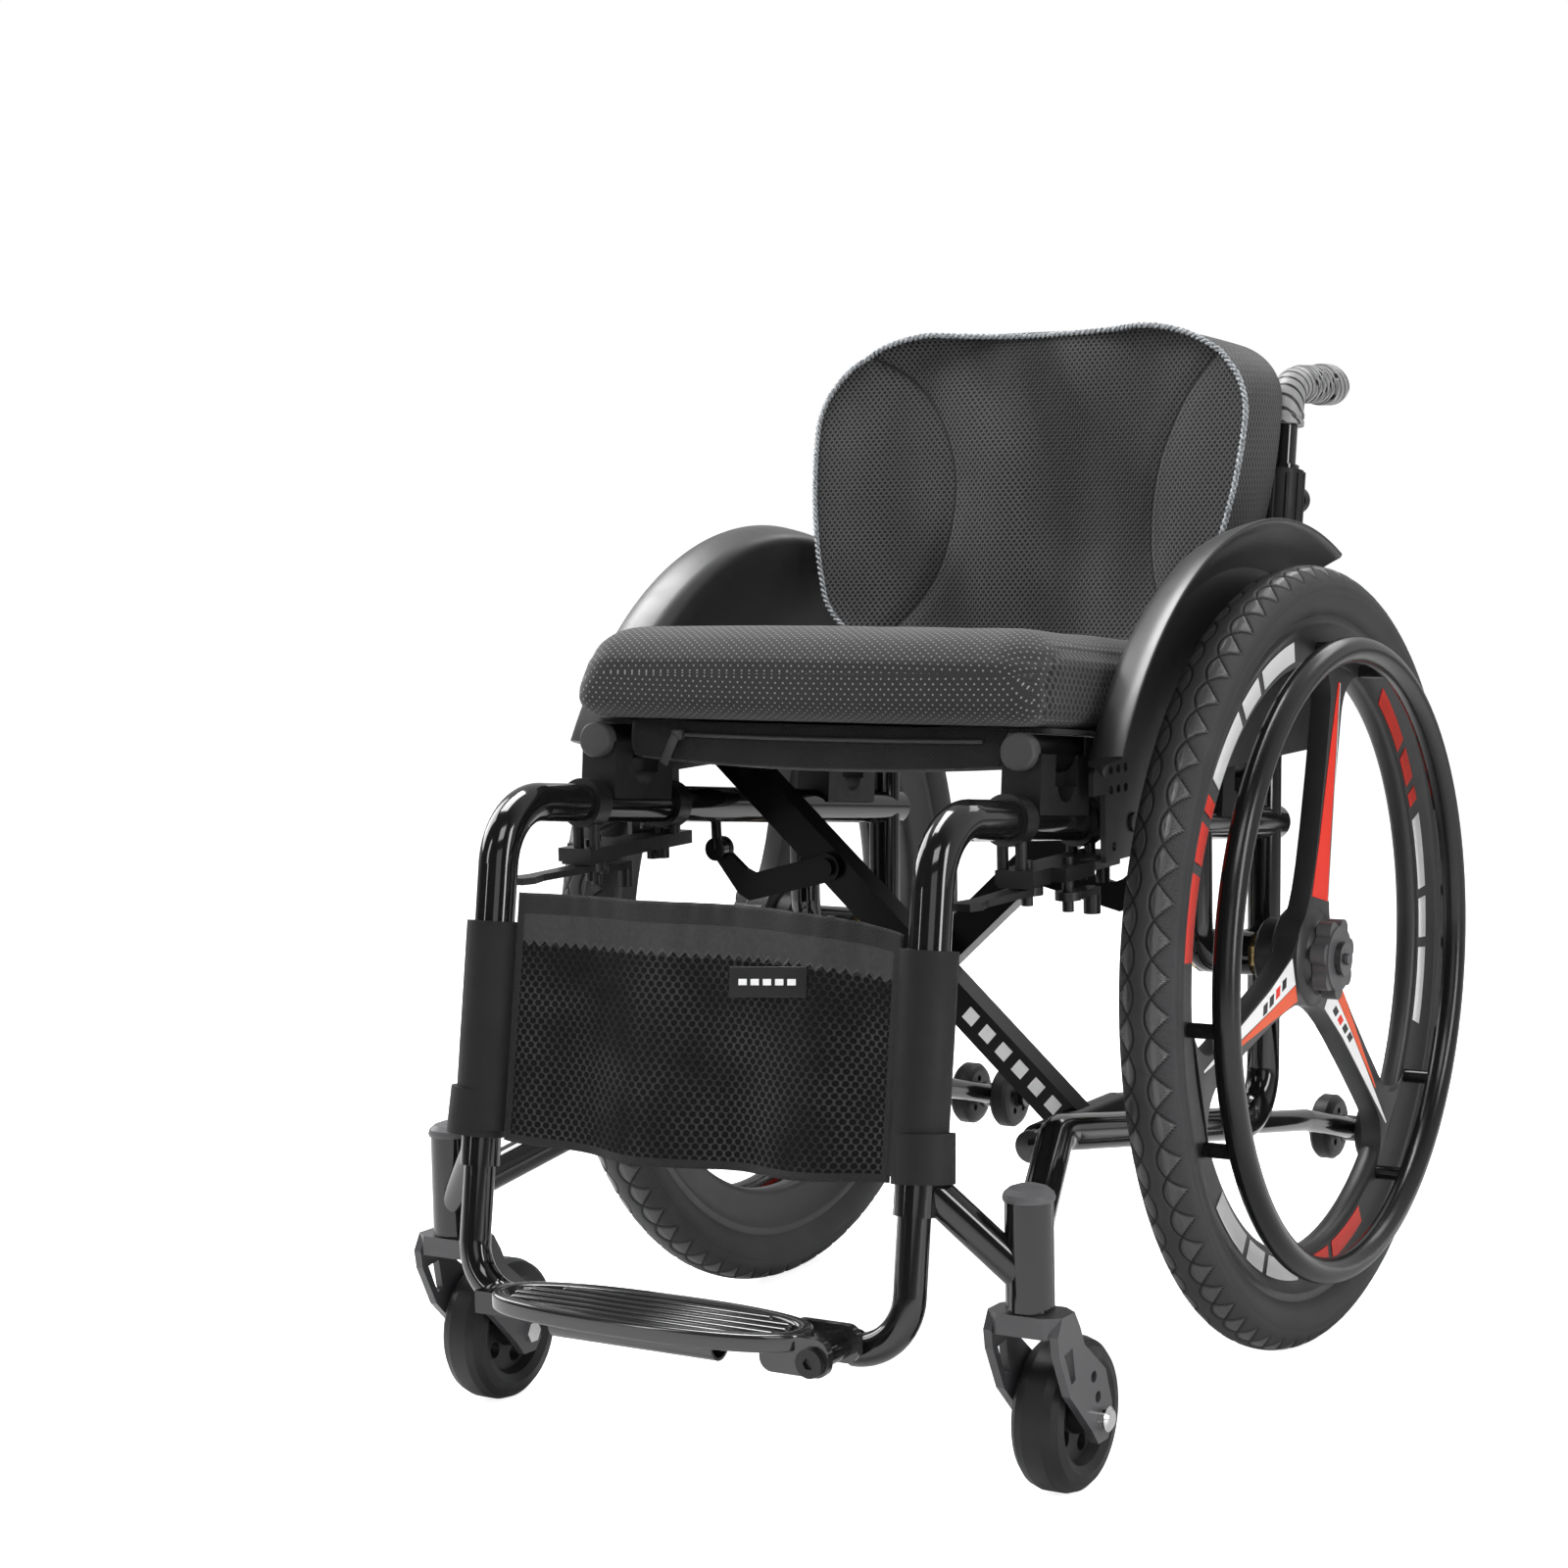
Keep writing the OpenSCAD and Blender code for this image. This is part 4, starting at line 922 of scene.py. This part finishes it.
def wheel_panels(side, sign):
    """Coloured blades on the spokes and dashes round the rim."""
    bm = bmesh.new()
    red = [(45, -15.5), (45, 17), (90, 11.5), (150, 7), (214, 0.8), (214, -1.6), (150, -6.6), (90, -10.4)]
    edging = [(45, -18), (45, -16.4), (150, -8.4), (214, -3), (214, -3.6), (150, -9.6)]
    flat_panel(bm, red, SPOKE_TURN, RED)
    flat_panel(bm, edging, SPOKE_TURN, WHITE)
    white = [(43, -18), (43, 3.5), (90, 2.2), (150, -1.2), (218, -7), (218, -8.6), (150, -10.4), (90, -12.4)]
    orange = [(43, 4.2), (43, 17.5), (80, 12.8), (140, 5), (178, 0.5), (178, -1.2), (140, 0.6), (80, 3.3)]
    for turn in (SPOKE_TURN + 120, SPOKE_TURN + 240):
        flat_panel(bm, white, turn, WHITE)
        flat_panel(bm, orange, turn, ORANGE)
        for k in range(4):
            a, w = 58 + 13 * k, -9.5 + 0.8 * k
            block = [(a, w), (a + 8, w), (a + 11, w + 7), (a + 3, w + 7)]
            flat_panel(bm, block, turn, RED if k == 1 else DARK, 0.00028)
    for group in range(3):
        mid = SPOKE_TURN - 60 + 120 * group
        for start, end, finish in RIM_DASHES:
            ring = [bm.verts.new(((WHEEL_X + x) * 0.001, r * 0.001, 0)) for r, x in RIM_DASH]
            face = bm.faces.new(ring)
            face.material_index = finish
            turn_x(bm, ring, mid + end)
            spin_x(bm, [face], start - end, start - end)
    put_on_side(bm, sign)
    piece(side + "_wheel_panels", bm, PANEL_PAINTS, side + "_wheel", sharp=30)


rear_tyres()
for side, sign in SIDES:
    mag_wheel(side, sign)
    wheel_panels(side, sign)


# Footplate
PLATE_X, PLATE_Y, PLATE_LOW = 8, -568, 122


def footplate():
    """Oval tread with a rounded rim and ribs, two jaws on the hinge and a half-round stiffener below."""
    bm = bmesh.new()
    oval = bmesh.ops.create_circle(bm, cap_ends=True, segments=112, radius=1)["verts"]
    for v in oval:
        across, deep = [math.copysign(abs(c) ** 0.8, c) for c in v.co.xy]
        v.co = at(PLATE_X + 122 * across, PLATE_Y + 37 * deep, PLATE_LOW)
    grown = bmesh.ops.extrude_face_region(bm, geom=bm.faces[:])["geom"]
    top = new_faces(grown)
    bmesh.ops.translate(bm, vec=(0, 0, 0.012), verts=new_verts(grown))
    bmesh.ops.recalc_face_normals(bm, faces=bm.faces[:])
    bmesh.ops.inset_region(bm, faces=top, thickness=0.009, depth=0)
    bmesh.ops.inset_region(bm, faces=top, thickness=0.002, depth=-0.005)
    round_off(bm, [e for e in bm.edges if len(e.link_faces) == 2 and e.calc_face_angle(0) > 0.6], 0.0038, 4)
    for i in range(-2, 3):
        y = 10.5 * i
        reach = 108 * (1 - abs(y / 29) ** 2.4) ** 0.42
        rib = bmesh.ops.create_cube(bm, size=1)["verts"]
        bmesh.ops.scale(bm, vec=(2 * reach * 0.001, 0.0068, 0.006), verts=rib)
        bmesh.ops.translate(bm, vec=at(PLATE_X, PLATE_Y + y, 130.4), verts=rib)
        round_off(bm, edges_of(rib), 0.0029, 4)
    for low, high in ((-580, -574), (-542, -536)):
        jaw = bmesh.ops.create_cube(bm, size=1)["verts"]
        bmesh.ops.scale(bm, vec=(0.051, (high - low) * 0.001, 0.025), verts=jaw)
        bmesh.ops.translate(bm, vec=at(125.5, (low + high) / 2, 119.5), verts=jaw)
        round_off(bm, [e for e in edges_of(jaw) if abs(e.verts[0].co.y - e.verts[1].co.y) > 1e-4], 0.009, 6)
    angles = [math.pi * (1 + k / 12) for k in range(13)]
    trough = [bm.verts.new(at(-54, -585 + 9 * math.cos(a), PLATE_LOW + 9 * math.sin(a))) for a in angles]
    chain = [bm.edges.new((a, b)) for a, b in zip(trough, trough[1:])]
    skin = bmesh.ops.extrude_edge_only(bm, edges=chain)["geom"]
    bmesh.ops.translate(bm, vec=(0.128, 0, 0), verts=new_verts(skin))
    bmesh.ops.solidify(bm, geom=new_faces(skin), thickness=0.002)
    made = piece("footplate_tread", bm, PLATE, "footplate", sharp=40)
    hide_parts("footplate")


footplate()


# Small trim
BRACE_FOOT_X, BRACE_FOOT_Z = 128, 190


def slab(bm, size, middle, turn=None, round_by=0.0):
    """A box of a size in millimetres, with rounded edges, turned about its middle."""
    made = bmesh.ops.create_cube(bm, size=1)["verts"]
    bmesh.ops.scale(bm, vec=[c * 0.001 for c in size], verts=made)
    if turn:
        bmesh.ops.rotate(bm, cent=(0, 0, 0), verts=made, matrix=turn)
    bmesh.ops.translate(bm, vec=middle, verts=made)
    if round_by:
        made = round_off(bm, edges_of(made), round_by * 0.001, 3)["verts"]
    return list({f for v in made for f in v.link_faces})


def pouch_badge():
    """Blank rubber badge on the pouch with a row of pale dashes."""
    x, z = 57.0, 341.0
    y = pouch_form(x / POUCH_HALF, (z - 215) / 174)[1] - 2.6
    turn = Matrix.Rotation(math.radians(-8.8), 3, "X") @ Matrix.Rotation(math.radians(-3.5), 3, "Y")
    bm = bmesh.new()
    slab(bm, (60, 2.4, 21), at(x, y, z), turn, 1.1)
    for k in range(5):
        spot = at(x, y, z) + turn @ Vector(((-19 + 9.5 * k) * 0.001, -0.0011, 0))
        for face in slab(bm, (6.4, 0.8, 4.2), spot, turn):
            face.material_index = 1
    made = piece("pouch_badge", bm, [BADGE, WHITE_PANEL], "left_frame", sharp=30)
    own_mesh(made)


def brace_dashes():
    """Pale dashes along the front face of the forward brace bar."""
    slope = (rail_z(-158) + SEAT_TUBE_RISE - BRACE_FOOT_Z) / (BRACE_FOOT_X + SEAT_TUBE_X)
    lean = Matrix.Rotation(math.atan(slope), 3, "Y")
    bm = bmesh.new()
    for k in range(6):
        x = 112 - 13.5 * k
        slab(bm, (10.5, 0.5, 11), at(x, -181.2, BRACE_FOOT_Z + slope * (BRACE_FOOT_X - x) + 2), lean)
    piece("brace_dashes", bm, WHITE_PANEL, "brace_a", sharp=30)


def seat_plugs():
    """Grey plugs in the front ends of the two seat tubes."""
    front = (on_seat(0, 0, 0) - on_seat(0, 1, 0)).normalized()
    turn = front.to_track_quat("Z", "X").to_matrix()
    for side, body, x in (("right", "brace_a", -SEAT_TUBE_X), ("left", "brace_b", SEAT_TUBE_X)):
        bm = bmesh.new()
        bmesh.ops.create_cone(bm, cap_ends=True, segments=48, radius1=0.0131, radius2=0.0131, depth=0.0125)
        round_off(bm, [e for e in bm.edges if abs(e.verts[0].co.z - e.verts[1].co.z) < 1e-6], 0.0022, 4)
        bmesh.ops.rotate(bm, cent=(0, 0, 0), verts=bm.verts[:], matrix=turn)
        end = at(x, SEAT_TUBE_FRONT, rail_z(SEAT_TUBE_FRONT) + SEAT_TUBE_RISE)
        bmesh.ops.translate(bm, vec=end + front * 0.0051, verts=bm.verts[:])
        piece(side + "_seat_tube_plug", bm, TUBE_PLUG, body, sharp=40)


def zip_fastener():
    """Zip under the front of the cushion with its puller hanging down."""
    line = []
    for i in range(60):
        u = -0.72 + 1.62 * i / 59
        line.append(on_seat(*band_form(u, 0.2)) + Vector((0, -0.0018, 0)))
    made = tube("seat_zip", line, 0.0016, ZIP, "seat", sides=2)
    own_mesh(made)
    bm = bmesh.new()
    top = line[0]
    slab(bm, (9, 6, 8), top + Vector((0, -0.002, 0)), None, 1.5)
    lean = Matrix.Rotation(math.radians(28), 3, "Y")
    slab(bm, (7, 1.8, 24), top + Vector((0, -0.005, 0)) + lean @ Vector((0, 0, -0.0125)), lean, 0.8)
    made = piece("seat_zip_puller", bm, ZIP, "seat", sharp=40)
    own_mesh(made)


GUARD_Y, GUARD_Z = -30, 317
GUARD_SECTION = [(282.5, 196.6), (303, 196.55), (309.2, 199.5), (313.3, 206.6), (317.4, 218.7), (319.5, 228),
                 (319.2, 229.2), (318, 229.5), (315.7, 228.4), (311.6, 221.8), (306.6, 214.4), (300.6, 208.2),
                 (293.8, 204.1), (288, 202.2), (282.5, 201.5)]


def guard_lips():
    """Smooth moulded lip of each mudguard, swept round the wheel."""
    for side, sign in SIDES:
        bm = bmesh.new()
        ring, chain = section_ring(bm, GUARD_SECTION)
        turn_x(bm, ring, 64.7)
        spin_x(bm, ring + chain, 84.6, 90)
        bmesh.ops.holes_fill(bm, edges=[e for e in bm.edges if len(e.link_faces) == 1], sides=0)
        put_on_side(bm, sign, GUARD_Y, GUARD_Z)
        piece(side + "_mudguard_lip", bm, GUARD, side + "_frame", sharp=50)


guard_lips()
pouch_badge()
brace_dashes()
seat_plugs()
zip_fastener()


# Stage
LAMPS = (
    ("key_softbox", (1.0, -2.0, 2.5), (0, -0.1, 0.45), (1.2, 0.9), 18),
    ("top_softbox", (-0.7, 0.1, 2.5), (0, 0, 0.4), (1.5, 1.0), 64),
    ("side_softbox", (-2.5, 0.0, 1.6), (0, 0, 0.45), (1.6, 1.6), 50),
    ("rear_softbox", (0.4, 2.4, 2.2), (0, 0, 0.6), (2.0, 0.8), 14),
    ("right_strip", (2.4, -0.5, 1.1), (0.1, 0, 0.4), (0.5, 1.8), 27),
    ("left_strip", (-1.3, -2.6, 1.2), (0, 0, 0.4), (0.16, 1.8), 8),
    ("front_panel", (1.5, -2.4, 0.9), (0, 0, 0.4), (1.3, 1.3), 6),
)
PHOTO_WIDTH, PHOTO_FOCAL, SENSOR = 1600, 3157.63, 36


def studio_floor():
    """White floor that glows to the camera, so that it meets the white backdrop."""
    bm = bmesh.new()
    bmesh.ops.create_grid(bm, x_segments=1, y_segments=1, size=40)
    mesh = bpy.data.meshes.new("studio_floor")
    bm.to_mesh(mesh)
    bm.free()
    floor = bpy.data.objects.new("studio_floor", mesh)
    scene.collection.objects.link(floor)
    f = Finish("floor_white", rough=0.9, specular=0.1)
    f.colour(f.blend(f.grain(2.0), (0.9, 0.9, 0.9), (0.92, 0.92, 0.92)))
    rays = f.add("LightPath")
    seen = f.sums("MULTIPLY", rays.outputs["Is Camera Ray"], 0.84)
    glow = f.add("Emission", (1, 1, 1), seen)
    both = f.add("AddShader", f.shader.outputs[0], glow.outputs[0])
    f.tree.links.new(both.outputs[0], f.tree.nodes["Material Output"].inputs[0])
    mesh.materials.append(f.made)


def studio_world():
    """White to the camera; mirrors see it brighter towards the back, and other rays see it dim."""
    world = bpy.data.worlds.new("studio_white")
    world.use_nodes = True
    scene.world = world
    tree = world.node_tree
    back = tree.nodes["Background"]
    back.inputs[0].default_value = (1, 1, 1, 1)
    rays = tree.nodes.new("ShaderNodeLightPath")
    mirror = tree.nodes.new("ShaderNodeMath")
    mirror.operation = "MAXIMUM"
    tree.links.new(rays.outputs["Is Glossy Ray"], mirror.inputs[0])
    tree.links.new(rays.outputs["Is Transmission Ray"], mirror.inputs[1])
    way = tree.nodes.new("ShaderNodeTexCoord")
    parts = tree.nodes.new("ShaderNodeSeparateXYZ")
    tree.links.new(way.outputs["Generated"], parts.inputs[0])
    backdrop = tree.nodes.new("ShaderNodeMapRange")
    tree.links.new(parts.outputs[1], backdrop.inputs[0])
    for i, value in ((1, -0.25), (2, 0.3), (3, 0.07), (4, 0.6)):
        backdrop.inputs[i].default_value = value
    unseen = tree.nodes.new("ShaderNodeMapRange")
    tree.links.new(mirror.outputs[0], unseen.inputs[0])
    unseen.inputs[3].default_value = 0.22
    tree.links.new(backdrop.outputs[0], unseen.inputs[4])
    shown = tree.nodes.new("ShaderNodeMapRange")
    tree.links.new(rays.outputs["Is Camera Ray"], shown.inputs[0])
    tree.links.new(unseen.outputs[0], shown.inputs[3])
    shown.inputs[4].default_value = 1.0
    tree.links.new(shown.outputs[0], back.inputs[1])


def lamps():
    for name, where, aim, size, power in LAMPS:
        lamp = bpy.data.lights.new(name, "AREA")
        lamp.shape = "RECTANGLE"
        lamp.size, lamp.size_y = size
        lamp.energy = power
        shown = bpy.data.objects.new(name, lamp)
        scene.collection.objects.link(shown)
        shown.location = where
        shown.rotation_euler = (Vector(aim) - Vector(where)).to_track_quat("-Z", "Y").to_euler()


def photo_camera():
    """The camera that was fitted to the photo."""
    lens = bpy.data.cameras.new("photo_camera")
    lens.sensor_fit = "HORIZONTAL"
    lens.sensor_width = SENSOR
    lens.lens = PHOTO_FOCAL / PHOTO_WIDTH * SENSOR
    lens.clip_end = 200
    camera = bpy.data.objects.new("photo_camera", lens)
    scene.collection.objects.link(camera)
    right = Vector((0.85413399, 0.51960655, -0.02154448))
    up = Vector((-0.03121353, 0.09257381, 0.99521646))
    back = Vector((0.51911545, -0.84937572, 0.09528919))
    turn = Matrix((right, up, back)).transposed().to_4x4()
    camera.matrix_world = Matrix.Translation(at(1126.710, -2214.194, 666.932)) @ turn
    scene.camera = camera


studio_floor()
studio_world()
lamps()
photo_camera()
